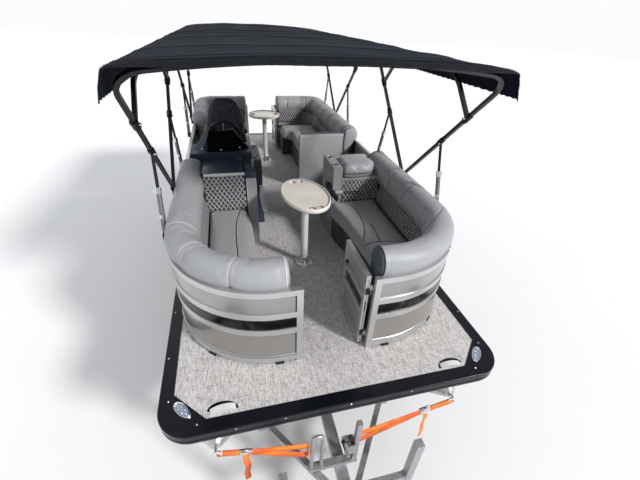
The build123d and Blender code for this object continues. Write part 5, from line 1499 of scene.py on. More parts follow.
class BOAT_OT_helm(bpy.types.Operator):
    """Makes the helm's dials, switches, throttle, screen fixings, shelf rims and wheel trim"""

    bl_idname = "boat.helm"
    bl_label = "Helm fittings"

    def execute(self, context):
        x_mid = -0.69
        foot = at(x_mid, 2.844, 0.90)
        down = (at(x_mid, 3.01, 0.81) - foot).normalized()
        out = Vector((0, -down.z, down.y))
        out = out if out.z > 0 else -out
        side = out.cross(PORTWARD).normalized()
        dials = Build()
        marks = []
        for x, radius in ((-0.17, 0.046), (0.0, 0.058), (0.17, 0.046)):
            middle = foot + down * 0.095 + PORTWARD * x + out * 0.001
            dials.rod(middle, middle + out * 0.004, radius, sides=40)
            dials.ring(middle + out * 0.004, out, radius, 0.004, 40, 8, 1)
            dials.rod(middle + out * 0.004, middle + out * 0.010, 0.006, sides=12, index=1)
            needle = (PORTWARD * 0.6 + side * 0.8).normalized()
            dials.rod(middle + out * 0.008, middle + out * 0.008 + needle * radius * 0.75, 0.0018, 0.0006, 6, 2)
            for k in range(11):
                angle = radians(-220 + 26 * k)
                marks.append(middle + (PORTWARD * cos(angle) - side * sin(angle)) * radius * 0.82 + out * 0.0045)
        dials.piece("helm_dials", ["black", "chrome", "red"], slot="console")
        repeat(
            "helm_dial_marks", "block", marks, "pale", facing=[out] * len(marks), slot="console",
            block=(0.003, 0.003, 0.001),
        )
        panel = Build()
        lower = at(x_mid, 3.013, 0.80)
        slope = (at(x_mid, 3.048, 0.655) - lower).normalized()
        for k in range(6):
            spot = lower + slope * 0.045 + Vector((-0.29 + 0.045 * k, 0, 0))
            panel.box(spot - Vector((0.012, 0.002, 0.016)), spot + Vector((0.012, 0.012, 0.016)), 0.003)
        panel.box(lower + Vector((0.05, -0.004, -0.07)), lower + Vector((0.20, 0.022, -0.015)), 0.005)
        panel.rod(lower + Vector((0.0, 0, -0.05)), lower + Vector((0.0, 0.03, -0.044)), 0.014, index=1)
        panel.piece("helm_switches", ["black", "chrome"], slot="console")
        throttle = Build()
        base = lower + slope * 0.075 + Vector((0.255, 0, 0))
        throttle.box(base - Vector((0.034, 0.006, 0.050)), base + Vector((0.034, 0.040, 0.050)), 0.012, 3)
        throttle.rod(base + Vector((-0.038, 0.028, 0)), base + Vector((0.038, 0.028, 0)), 0.024, sides=28, index=1)
        throttle.rod(base + Vector((0.026, 0.03, 0)), base + Vector((0.026, 0.085, 0.032)), 0.008, 0.007, 16, 1)
        throttle.ball(base + Vector((0.020, 0.090, 0.036)), 0.020, squash=(1.5, 0.9, 0.9))
        throttle.piece("throttle", ["black", "chrome"], slot="console")
        rims = Build()
        for y in (2.96, 2.62):
            rims.ring(at(-0.36, y, 0.8015), (0, 0, 1), 0.042, 0.004, 32, 8)
            rims.rod(at(-0.36, y, 0.8002), at(-0.36, y, 0.8018), 0.039, sides=28, index=1)
        rims.piece("shelf_rims", ["chrome", "black"], slot="console")
        spots = [at(-0.73 + x, 2.533 + 0.118 * (x / 0.30) ** 2, 0.925) for x in (-0.20, 0.0, 0.20)]
        repeat(
            "screen_screws", "dome", spots, "chrome", facing=[(0, -1, 0.2)] * 3, slot="screen", radius=0.009,
            squash=(1, 1, 0.5),
        )
        self.wheel()
        return {"FINISHED"}

    def wheel(self):
        """The wheel's cap, spokes, grip and its stitches."""
        body = "steering_wheel"
        low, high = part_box(body)
        centre = (low + high) / 2
        lean = radians(25)
        axis = Vector((0, cos(lean), sin(lean)))
        upward = axis.cross(PORTWARD)
        cap = Build()
        cap.ring(centre + axis * 0.0155, axis, 0.036, 0.003, 36, 8, 1)
        cap.ball(centre + axis * 0.013, 0.032, 0, (1, 0.6, 0.6), 24)
        for k in range(3):
            turn = radians(90 + 120 * k)
            side = (PORTWARD * cos(turn) - upward * sin(turn)).normalized()
            cap.rod(centre + side * 0.045 + axis * 0.007, centre + side * 0.16 + axis * 0.007, 0.007, 0.005, 10, 1)
        cap.piece("wheel_trim", ["black", "chrome"], body, "steering")
        grip = Build()
        grip.ring(centre, axis, 0.180, 0.0155, 96, 14)
        grip.piece("wheel_grip", "tube", body, "steering")
        stitches = [
            centre + (PORTWARD * cos(tau * k / 96) + upward * sin(tau * k / 96)) * 0.1642 for k in range(97)
        ]
        repeat(
            "wheel_grip_thread", "stitch", [stitches], "thread_dark", body, "steering", pitch=0.009, radius=0.0012,
            length=0.005,
        )


def table_mesh(name, node, centre, half, turn):
    """A moulded table top from rings about its middle: raised rim, sunk middle and four small cup recesses, whose walls
    take a darker tan as painted shade.
    """
    profile = (
        # share of the reach, depth under the top, in metres
        (1.0, 0.036), (1.012, 0.030), (1.015, 0.018), (1.010, 0.006), (0.998, 0.0004), (0.985, -0.0012),
        (0.965, -0.0008), (0.952, 0.0016), (0.945, 0.0090), (0.938, 0.0100),
    )
    rings, steps, top = 52, 216, 0.80
    spots = [(way * (half[0] - 0.062), across * 0.036) for way in (-1, 1) for across in (-1, 1)]
    levels = [*profile, *((0.938 * (1 - (k + 1) / rings), 0.0100) for k in range(rings - 1))]
    verts = []
    for share, drop in levels:
        for j in range(steps):
            angle = tau * j / steps
            u, v = share * half[0] * cos(angle) * 0.985, share * half[1] * sin(angle) * 0.985
            away = min(hypot(u - spot[0], v - spot[1]) for spot in spots)
            dip = 0.0130 / (1 + exp((away - 0.028) / 0.0011))
            verts.append(turned_at(centre, turn, u, v, top - drop - dip))
    middle = len(verts)
    verts.append(at(*centre, top - 0.0100))
    last = (len(levels) - 1) * steps
    faces = ring_faces(len(levels), steps)
    faces += [(last + j, last + (j + 1) % steps, middle) for j in range(steps)]
    faces.append(tuple(range(steps)))
    thing = piece_from(name, verts, faces, ["cream", "cream_line"], HOME)
    # The recess wall inside the rim and the cup recesses' walls get the darker tan: painted shade.
    for face in thing.data.polygons:
        ring = face.index // steps
        face.material_index = 1 if ring == 7 or (ring > 9 and face.normal.z < 0.86) else 0
    thing.data.set_sharp_from_angle(angle=radians(50))
    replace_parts(thing, node)


class BOAT_OT_tables(bpy.types.Operator):
    """Makes the two moulded table tops and the collars on their posts"""

    bl_idname = "boat.tables"
    bl_label = "Tables"

    def execute(self, context):
        table_mesh("table_top_front", "table_front", TABLES[0], (0.347, 0.215), radians(97.8))
        table_mesh("table_top_rear", "table_rear", TABLES[1], (0.25, 0.249), 0.0)
        collars = Build()
        for x, y in TABLES:
            collars.rod(at(x, y, 0.012), at(x, y, 0.040), 0.056, 0.046, 40)
            collars.rod(at(x, y, 0.040), at(x, y, 0.085), 0.043, 0.040, 40)
            collars.ring(at(x, y, 0.0125), (0, 0, 1), 0.092, 0.004, 48, 8)
            collars.rod(at(x, y, 0.735), at(x, y, 0.763), 0.048, 0.085, 40)
            collars.ring(at(x, y, 0.30), (0, 0, 1), 0.0352, 0.0022, 36, 8, 1)
        collars.rod(at(*CHAIR_POST, 0.012), at(*CHAIR_POST, 0.06), 0.12, 0.062, 44)
        collars.piece("post_collars", ["chrome", "webbing"], slot="post")
        screws = []
        for (x, y), radius in ((TABLES[0], 0.078), (TABLES[1], 0.078), (CHAIR_POST, 0.165)):
            screws += [at(x + radius * cos(tau * k / 6), y + radius * sin(tau * k / 6), 0.0125) for k in range(6)]
        repeat("post_screws", "dome", screws, "chrome", slot="post", radius=0.007, squash=(1, 1, 0.4))
        return {"FINISHED"}


def canopy_section():
    """The cloth's outer section: hem, skirt, shoulder, the low arch and back again, with equal steps."""
    half, shoulder, rise = 1.191, 1.9281, 0.085
    edge, hem, skirt = 1.234, 1.786, half + 0.028
    arch = [(half * sin(a), shoulder + rise * cos(a)) for a in np.linspace(-pi / 2, pi / 2, 60)]
    middle = (hem + shoulder) / 2
    line = np.array([(-edge, hem), (-skirt, middle), *arch, (skirt, middle), (edge, hem)])
    along = run_along(line)
    places = spaced(0, along[-1], 0.022)
    return divided(line, along, places), places


def bow_place(height):
    """How far along the boat from its pivot the main bow is where the cloth is this high over the deck."""
    return BOW_REACH * (min(max(height - 0.033, 1.895), 1.985) - BOW_FOOT) / BOW_RISE


class BOAT_OT_canopies(bpy.types.Operator):
    """Makes the two cloth tops: sagged sheets with puckered hems, seams, pockets round the bows and stitching"""

    bl_idname = "boat.canopies"
    bl_label = "Cloth tops"

    def execute(self, context):
        sizes = context.scene.boat_sizes
        section, arc = canopy_section()
        width = arc[-1]
        for end in ("front", "rear"):
            low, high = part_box(f"canopy_{end}")
            mid = (low.y + high.y) / 2 - BOW
            half = (high.y - low.y) / 2 - 0.004
            heads = (-BOW_REACH, -0.5, 0.5, BOW_REACH)
            fall, lip, bend = 0.078, 0.058, 0.026
            ys = spaced(-half - fall, half + fall, 0.016)
            verts, uvs, faces = [], [], []
            for flat in ys:
                way = 1 if flat > 0 else -1
                for (x, z), run in zip(section, arc):
                    over = max(0.0, 1 - (abs(x) / 1.16) ** 6)
                    head = bow_place(z) * (half / 1.211) + 0.018
                    beyond = max(0.0, abs(flat) - (half + fall - lip))
                    y = way * head if beyond else flat * head / (half + fall - lip)
                    dip = 0.0
                    if beyond:
                        turn = min(beyond / bend, pi / 2)
                        down = bend * (1 - cos(turn)) + max(0.0, beyond - bend * pi / 2)
                        y += way * (bend * sin(turn) + 0.10 * max(0.0, beyond - 0.041))
                        dip = down * (0.25 + 0.75 * over)
                    span = next(((a, b) for a, b in zip(heads, heads[1:]) if a <= y <= b), None)
                    sag = 0.0
                    if span:
                        share = (y - span[0]) / (span[1] - span[0])
                        sag = sizes.canopy_sag * sin(pi * share) * (1.6 if span[1] - span[0] > 0.8 else 1.0)
                    side = min(run, width - run)
                    front = half + fall - abs(flat)
                    ruck = 0.0045 * sin(run * 92 + 2.4 * sin(run * 13)) * exp(-front / 0.06)
                    rise = 0.0030 * sin(flat * 88 + 1.8 * sin(flat * 11)) * exp(-side / 0.05)
                    fold = 0.0035 * sin(run * 9 + y * 3.1) * sin(y * 7 + run * 2) * over
                    verts.append(at(x, mid + y + way * ruck, z - sag * over + rise + fold - dip - 0.008))
                    uvs.append((run, flat + half + fall))
            columns = len(section)
            for i in range(len(ys) - 1):
                for j in range(columns - 1):
                    a = i * columns + j
                    faces.append((a, a + 1, a + columns + 1, a + columns))
            cloth = piece_from(f"top_cloth_{end}", verts, faces, "canvas", HOME, np.array(uvs))
            if cloth.data.polygons[len(faces) // 2].normal.z < 0:
                cloth.data.flip_normals()
            modify(cloth, "SOLIDIFY", thickness=0.0022, offset=-1)
            plain(cloth)
            cloth.data.shade_smooth()
            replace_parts(cloth, f"canopy_{end}")
            self.hem(end, ys, arc, verts, columns, sizes.hem_width, cloth)
        return {"FINISHED"}

    def hem(self, end, ys, arc, verts, columns, hem, cloth):
        width, half = arc[-1], ys[-1]
        net = np.array([tuple(vert) for vert in verts]).reshape(len(ys), columns, 3)
        ways = np.cross(np.gradient(net, axis=1), np.gradient(net, axis=0))
        ways /= np.maximum(np.linalg.norm(ways, axis=2, keepdims=True), 1e-9)
        ways *= np.where(ways[:, :, 2:].mean() < 0, -1, 1)

        def spot(run, y, lift):
            i = (y - ys[0]) / (ys[1] - ys[0])
            j = run / width * (columns - 1)
            i0, j0 = int(min(max(i, 0), len(ys) - 2)), int(min(max(j, 0), columns - 2))
            a, b = min(max(i - i0, 0), 1), min(max(j - j0, 0), 1)
            place = (net[i0, j0] * (1 - a) + net[i0 + 1, j0] * a) * (1 - b)
            place += (net[i0, j0 + 1] * (1 - a) + net[i0 + 1, j0 + 1] * a) * b
            return Vector(place + ways[i0, j0] * lift)

        bands = Build()
        strips = []
        for y0, way in ((-half + 0.001, 1), (half - 0.001, -1)):
            strips.append([(run, y0, 0, way) for run in spaced(0.002, width - 0.002, 0.025)])
        for run0, way in ((0.001, 1), (width - 0.001, -1)):
            strips.append([(run0, y, way, 0) for y in spaced(-half + 0.002, half - 0.002, 0.025)])
        seams = []
        for strip in strips:
            rows = []
            for run, y, along, across in strip:
                ring = []
                for share, lift in ((0, 0.0028), (0.5, 0.0040), (1, 0.0024), (1, 0.0004), (0.5, 0.0004), (0, 0.0004)):
                    ring.append(bands.mesh.verts.new(spot(run + along * share * hem, y + across * share * hem, lift)))
                rows.append(ring)
            bands.skin(rows)
            for share in (0.10, 0.90):
                seams.append([
                    spot(run + along * share * hem, y + across * share * hem, 0.0046) for run, y, along, across in strip
                ])
        band = ((-0.04, 0.0016), (-0.02, 0.0028), (0.02, 0.0028), (0.04, 0.0016), (0.02, 0.0002), (-0.02, 0.0002))
        runs = spaced(0.15, width - 0.15, 0.03)
        for head in (-1.10, -0.5, 0.5, 1.10):
            bands.skin([[bands.mesh.verts.new(spot(run, head + dy, lift)) for dy, lift in band] for run in runs])
            for dy in (-0.034, 0.034):
                seams.append([spot(run, head + dy, 0.0030) for run in runs])
        piece = bands.piece(f"top_hem_{end}", "canvas_edge", HOME, "canopy")
        thread = repeat(
            f"top_thread_{end}", "stitch", seams, "thread_dark", HOME, "canopy", pitch=0.018, radius=0.0012,
            length=0.011,
        )


class BOAT_OT_tops(bpy.types.Operator):
    """Makes the folding frames' joints, sleeves, clamps and end caps"""

    bl_idname = "boat.tops"
    bl_label = "Top hardware"

    def execute(self, context):
        x = 1.187
        rise = BOW_RISE / BOW_REACH
        for end, pivot in (("front", 2.0), ("rear", 4.7)):
            build = Build()

            def on_bow(sign, along):
                return at(sign * x, pivot + along, BOW_FOOT + abs(along) * rise)

            for sign in (1, -1):
                for way in (1, -1):
                    foot = at(sign * x, pivot + way * 0.74, 0.70)
                    head, jaw = on_bow(sign, way * 0.56), on_bow(sign, way * 0.83)
                    run = head - foot
                    build.rod(foot + run * 0.02, foot + run * 0.54, 0.0195, sides=24)
                    build.rod(foot + run * 0.50, foot + run * 0.58, 0.0225, sides=24, index=1)
                    build.rod(foot + run * 0.20, foot + run * 0.245, 0.0225, sides=24, index=1)
                    build.block(
                        foot + run * 0.54 + PORTWARD * sign * 0.025, (0.011, 0.012, 0.012), 0.004, index=1
                    )
                    for spot in (foot + run * 0.97, foot + run * 0.02):
                        build.pin(spot, (0.027, 0, 0), 0.009, sides=14, index=1)
                    slope = Vector((0, way, rise)).normalized()
                    build.pin(jaw, slope * 0.038, 0.0265, sides=18, index=2)
                    build.pin(jaw, (0.034, 0, 0), 0.010, sides=14, index=1)
                    build.pin(head, slope * 0.030, 0.0255, sides=18, index=2)
                    build.box(
                        foot - Vector((0.020, 0.030, 0.045)), foot + Vector((0.020, 0.030, 0.008)), 0.006, index=2
                    )
                hinge = at(sign * x, pivot, 0.752)
                build.pin(hinge, (0.026, 0, 0), 0.026, sides=24, index=2)
                build.pin(hinge, (0.031, 0, 0), 0.009, sides=16, index=1)
                build.ball(hinge + PORTWARD * sign * 0.032, 0.009, 1, (0.5, 1, 1), 14)
            build.piece(f"top_joints_{end}", ["sleeve", "chrome", "black"], slot="top_tube")
        return {"FINISHED"}


class BOAT_OT_deck(bpy.types.Operator):
    """Makes the corner lamps, the trim's screws and joints, thin black plates behind the cleats as painted shadows, and
    the deck's small fixings
    """

    bl_idname = "boat.deck"
    bl_label = "Deck fittings"

    def execute(self, context):
        sizes = context.scene.boat_sizes
        lamps = Build()
        spots = []
        rim = ((1, 0.0042), (1, 0.008), (0.93, 0.0135), (0.80, 0.0140), (0.74, 0.0095), (0.74, 0.005))
        glass = ((0.75, 0.005), (0.74, 0.0095), (0.60, 0.0120), (0.35, 0.0135), (0.1, 0.0140))
        lights = (
            (-0.040, 0.0), (-0.018, 0.011), (-0.018, -0.011), (0.0, 0.0), (0.018, 0.011), (0.018, -0.011), (0.040, 0.0),
        )
        for middle, turn in (((-1.095, 0.185), radians(131)), ((1.095, 0.170), radians(49))):
            for index, levels in enumerate((rim, glass)):
                rows = []
                for scale, z in levels:
                    ring = [(scale * cos(tau * k / 56), scale * sin(tau * k / 56)) for k in range(56)]
                    rows.append([
                        lamps.mesh.verts.new(turned_at(middle, turn, 0.080 * u, 0.036 * v, z)) for u, v in ring
                    ])
                lamps.skin(rows, index=index)
            spots += [turned_at(middle, turn, u, v, 0.0125) for u, v in lights]
            for u in (-0.069, 0.069):
                lamps.ball(turned_at(middle, turn, u, 0, 0.0125), 0.0045, 0, (1, 1, 0.5), 12)
        lamp = lamps.piece("corner_lamps", ["chrome", "lens"], slot="lamp")
        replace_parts(lamp, "deck_lamps")
        repeat("corner_lamp_lights", "dome", spots, "chrome", slot="lamp", radius=0.0080, squash=(1, 1, 0.40))
        places = [(x, 0.0, -0.018, (0, -1, 0)) for x in (-0.762, -0.446, 0.005, 0.456)]
        corners = ((-1.187, 0.267), (-0.998, 0.069), (1.014, 0.062), (1.183, 0.268))
        places += [(x, y, 0.004, (0, 0, 1)) for x, y in corners]
        for y in spaced(0.62, 5.9, 0.46):
            places += [(sign * (HALF_DECK - 0.028), y, 0.004, (0, 0, 1)) for sign in (1, -1)]
        places += [(x, DECK_LENGTH, -0.018, (0, 1, 0)) for x in spaced(-0.95, 0.95, 0.42)]
        repeat(
            "trim_screws", "dome", [at(x, y, z) for x, y, z, _ in places], "chrome",
            facing=[way for *_, way in places], slot="edge_trim", radius=sizes.screw_radius, squash=(1, 1, 0.42),
        )
        joints = Build()
        for x, y, end in (
            (-0.95, 0.0, 0.10), (0.985, 0.0, 0.10), (-0.95, DECK_LENGTH, -0.10), (0.95, DECK_LENGTH, -0.10),
        ):
            face = 0.0006 if end > 0 else -0.0006
            joints.box(at(x - 0.0012, min(y - face, y + end), 0.0), at(x + 0.0012, max(y - face, y + end), 0.0046))
            joints.box(at(x - 0.0012, min(y - face, y + face), -0.047), at(x + 0.0012, max(y - face, y + face), -0.003))
        for sign in (1, -1):
            for y in (0.40, 5.9):
                joints.box(at(sign * 1.15, y - 0.0012, 0.0), at(sign * 1.2420, y + 0.0012, 0.0046))
        joints.piece("trim_joints", "stripe", slot="edge_trim")
        # Thin black half-ellipse plates on the deck behind each cleat: painted shadows of the cleats.
        cleat_shadow_plates = Build()
        for middle, turn in (
            ((-0.84, 0.135), radians(-4)), ((0.84, 0.124), radians(4)), ((-0.84, 6.10), pi), ((0.84, 6.10), pi),
        ):
            arc = [(0.100 * cos(pi * k / 24), 0.062 * sin(pi * k / 24)) for k in range(25)]
            outline = [turned_at(middle, turn, u, v, 0)[:2] for u, v in arc]
            cleat_shadow_plates.prism(outline, DECK - 0.001, DECK + 0.0022)
        cleat_shadow_plates.piece("cleat_painted_shadows", "stripe", slot="cleat")
        return {"FINISHED"}


class BOAT_OT_fence(bpy.types.Operator):
    """Makes the fence's foot pads, rivets, panel beads, hinges, latches and end slots"""

    bl_idname = "boat.fence"
    bl_label = "Fence fittings"

    def execute(self, context):
        pads = Build()
        bead = Build()
        rivets, ways = [], []
        last = run_stern(0.30)
        for side, sign in SIDES:
            gate = (run_at(2.50), run_at(3.42)) if side == "port" else (last, last)
            for run in spaced(0.42, last - 0.12, 0.55):
                if not gate[0] < run < gate[1]:
                    _, _, out = fence_line(run)
                    turn = Matrix.Rotation(atan2(out[1], sign * out[0]) + pi / 2, 3, "Z")
                    pads.block(on_fence(sign, run, 0.010, 0.009), (0.030, 0.018, 0.009), 0.003, turn=turn)
            for height in (0.035, 0.348, 0.472, 0.682):
                for run in spaced(0.40, last - 0.06, 0.62):
                    if not gate[0] < run < gate[1]:
                        for shift in (-0.016, 0.016):
                            _, _, out = fence_line(run + shift)
                            rivets.append(on_fence(sign, run + shift, 0.0, height))
                            ways.append((sign * out[0], out[1], 0))
            start, stop = 0.30, last - 0.03
            spans = ((start, run_at(2.53)), (run_at(3.40), stop)) if side == "port" else ((start, stop),)
            for span in spans:
                for height in (0.082, 0.335, 0.485, 0.655):
                    line = [on_fence(sign, run, 0.006, height) for run in spaced(*span, 0.03)]
                    tube_along(line, 0.0032, 6, False, bead)
        pads.piece("fence_pads", "black", slot="fence_rail")
        repeat(
            "fence_rivets", "dome", rivets, "chrome", facing=ways, slot="fence_rail", radius=0.0036,
            squash=(1, 1, 0.45),
        )
        bead.piece("fence_beads", "rail", slot="fence_rail")
        ends = Build()
        for low, high in ((0.08, 0.335), (0.485, 0.655)):
            ends.box(at(-0.307, FENCE_FRONT + 0.004, low), at(-0.293, FENCE_FRONT + 0.0095, high), 0.001)
        ends.piece("fence_ends", "stripe", slot="fence_rail")
        for name, pin, middle in (("front_gate", 0.458, 0.459), ("stern_gate", 5.733, 5.732)):
            hinges = Build()
            for z in (0.14, 0.56):
                hinges.pin(at(0.2435, pin, z), (0, 0, 0.03), 0.0075, sides=16, index=1)
                hinges.block(at(0.220, middle, z), (0.016, 0.007, 0.026), 0.002)
            hinges.piece(f"{name}_hinges", ["stripe", "sleeve"], name, "fence_rail")
        low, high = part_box("side_gate")
        beside = Vector(((low.x + high.x) / 2, low.y + 0.05, DECK + 0.50))
        for name, spot, half, outer, inner in (
            # piece, middle, half its width, how far its bolt reaches outboard and inboard
            ("front_gate", at(0.2255, 0.885, 0.50), 0.0275, 0.034, 0.034),
            ("stern_gate", at(0.2255, 5.31, 0.50), 0.0275, 0.034, 0.034),
            ("side_gate", beside, 0.024, 0.024, 0.030),
        ):
            latch = Build()
            latch.block(spot, (half, 0.018, 0.030), 0.005)
            latch.rod(spot - PORTWARD * inner, spot + PORTWARD * outer, 0.009, sides=18, index=1)
            latch.piece(f"{name}_latch", ["black", "chrome"], name, "fence_rail")
        return {"FINISHED"}


class BOAT_OT_wheels(bpy.types.Operator):
    """Makes the trailer's tyres with their tread, the wheel nuts, hub caps and valves"""

    bl_idname = "boat.wheels"
    bl_label = "Wheels"

    def execute(self, context):
        shape = (
            # half of the tyre's profile: share of its half width, share of the wall from rim to tread
            (-0.66, 0.03), (-0.86, 0.10), (-0.97, 0.30), (-1.0, 0.48), (-0.98, 0.70), (-0.90, 0.86), (-0.80, 0.935),
            (-0.62, 0.955), (-0.585, 0.94), (-0.55, 0.958), (-0.22, 0.968), (-0.185, 0.945), (-0.15, 0.969),
        )
        shape += (*((-u, v) for u, v in reversed(shape)), (0.60, -0.02), (-0.60, -0.02))
        tread = (
            # share of the half width, lean of the blocks, how far up the wall they reach
            (-0.74, 0.0, 0.899), (-0.385, 0.3, 0.929), (0.0, 0.6, 0.929), (0.385, 0.3, 0.929), (0.74, 0.0, 0.899),
        )
        for end in ("front", "rear"):
            for side, sign in SIDES:
                wheel = f"{end}_{side}"
                body = f"wheel_{wheel}"
                low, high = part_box(f"tyre_{wheel}")
                centre = (low + high) / 2
                radius = (high.z - low.z) / 2
                half = (high.x - low.x) / 2
                low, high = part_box(f"rim_{wheel}")
                rim = (high.z - low.z) / 2
                wall = radius - rim

                def place(out, angle, reach):
                    return centre + Vector((out, reach * cos(angle), reach * sin(angle)))

                tyre = Build()
                rows = [
                    [tyre.mesh.verts.new(place(u * half * 0.995, tau * k / 72, rim + v * wall)) for u, v in shape]
                    for k in range(72)
                ]
                tyre.skin(rows, True)
                thing = tyre.piece(f"tyre_{wheel}_moulded", "rubber", body, "tyre", radians(50))
                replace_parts(thing, f"tyre_{wheel}")
                blocks, ways, alongs = [], [], []
                for k in range(54):
                    for row, (x, lean, reach) in enumerate(tread):
                        angle = tau * (k + 0.5 * (row % 2)) / 54
                        blocks.append(place(x * half, angle, rim + wall * reach))
                        ways.append(Vector((0.14 * x, cos(angle), sin(angle))).normalized())
                        alongs.append((1, -sin(angle) * lean, cos(angle) * lean))
                repeat(
                    f"tread_{wheel}", "block", blocks, "rubber", body, "tyre", facing=ways, along=alongs,
                    block=(half * 0.25, radius * 0.074, wall * 0.075),
                )
                face = sign * (half - 0.055)
                repeat(
                    f"wheel_nuts_{wheel}", "nut", [place(face + sign * 0.012, tau * k / 5, 0.054) for k in range(5)],
                    "chrome", body, "rim", facing=[(sign, 0, 0)] * 5, radius=0.011, length=0.020,
                )
                cap = Build()
                hub_end = place(face + sign * 0.028, 0, 0)
                cap.rod(place(face - sign * 0.02, 0, 0), hub_end, 0.031, 0.027, 36)
                cap.ball(hub_end, 0.027, 0, (0.35, 1, 1), 28)
                cap.rod(place(face, 0, 0.118), place(face + sign * 0.03, 0, 0.125), 0.004, sides=10, index=1)
                cap.ring(place(sign * half * 0.93, 0, 0), (1, 0, 0), rim + wall * 0.13, 0.0032, 72, 8, 1)
                cap.piece(f"hub_{wheel}", ["steel", "rubber"], body, "rim")
        return {"FINISHED"}


class BOAT_OT_trailer(bpy.types.Operator):
    """Makes the trailer's lamps, reflectors, board, bolts, winch drum, grips and bunk staples"""

    bl_idname = "boat.trailer"
    bl_label = "Trailer fittings"

    def execute(self, context):
        lamps = Build()
        face = 6.2055
        for sign in (1, -1):
            lamps.box(on_road(sign * 0.86, face - 0.004, 0.436), on_road(sign * 1.04, face, 0.544), 0.003, index=1)
            for x0, x1, index in ((0.865, 0.925, 0), (0.928, 0.975, 0), (0.978, 1.035, 2)):
                low, high = on_road(sign * x0, face - 0.003, 0.442), on_road(sign * x1, face + 0.007, 0.538)
                lamps.box(low, high, 0.004, 3, index=index)
            for y in (1.703, 2.903):
                lamps.box(on_road(sign * 1.1195, y, 0.515), on_road(sign * 1.1265, y + 0.054, 0.557), 0.002, index=2)
        plate = 6.1615
        lamps.box(on_road(-0.27, plate, 0.405), on_road(0.27, plate + 0.008, 0.520), 0.004, index=3)
        for x in (-0.2, 0.2):
            lamps.box(on_road(x - 0.03, plate - 0.004, 0.505), on_road(x + 0.03, plate + 0.030, 0.535), 0.006, index=1)
        lamps.piece("trailer_lamps", ["red", "black", "amber", "pale"], slot="galvanised")
        bolts, ways = [], []
        pairs = [(x, y, 0.5705) for x in (0.60, 1.04) for y in (0.54, 1.73, 2.93, 4.63, 5.33, 5.97)]
        for sign in (1, -1):
            for x, y, z in ((0.46, -0.19, 0.5505), *pairs):
                bolts += [on_road(sign * x, y + dy, z) for dy in (-0.018, 0.018)]
                ways += [(0, 0, 1)] * 2
            bolts += [on_road(sign * 0.5, -0.2205, z) for z in (0.47, 0.53)]
            ways += [(0, -1, 0)] * 2
        bolts += [on_road(x, y, 0.5005) for x in (-0.03, 0.03) for y in (-0.25, -0.42, 0.10)]
        ways += [(0, 0, 1)] * 6
        repeat("trailer_nuts", "nut", bolts, "steel", facing=ways, slot="galvanised", radius=0.011, length=0.012)
        fittings = Build()
        for k in range(9):
            fittings.ring(on_road(0.050, 0.03, 0.76), (0, 1, 0), 0.030 + 0.0016 * k, 0.0014, 28, 6)
        fittings.rod(on_road(-0.015, 0, 0.905), on_road(-0.015, -0.075, 0.905), 0.015, 0.013, index=1)
        fittings.piece("winch_fittings", ["trim", "black"], slot="galvanised")
        grips = Build()
        grips.rod(on_road(0.104, -0.925, 0.885), on_road(0.104, -0.925, 0.932), 0.016, 0.014)
        grips.box(on_road(-0.026, -1.40, 0.492), on_road(0.026, -1.27, 0.512), 0.008, 3)
        grips.piece("trailer_grips", "black", slot="galvanised")
        pads = Build()
        for x in (0.74, 1.11, -0.74, -1.11):
            for y in (1.2, 2.6, 4.2, 5.4):
                pads.rod(at(x, y, -0.71), at(x, y, -0.701), 0.010, sides=12)
        pads.piece("bunk_staples", "steel", slot="bunk")
        return {"FINISHED"}


def ribbon(build, points, width, across):
    """A flat band of webbing that follows points, its width along a given way."""
    points = [Vector(point) for point in points]
    rows = []
    for i, point in enumerate(points):
        way = (points[min(i + 1, len(points) - 1)] - points[max(i - 1, 0)]).normalized()
        wide = (Vector(across) - way * Vector(across).dot(way)).normalized() * width / 2
        thick = way.cross(wide).normalized() * WEBBING / 2
        corners = ((-1, 1), (1, 1), (1, -1), (-1, -1))
        rows.append([build.mesh.verts.new(point + a * wide + b * thick) for a, b in corners])
    build.skin(rows)


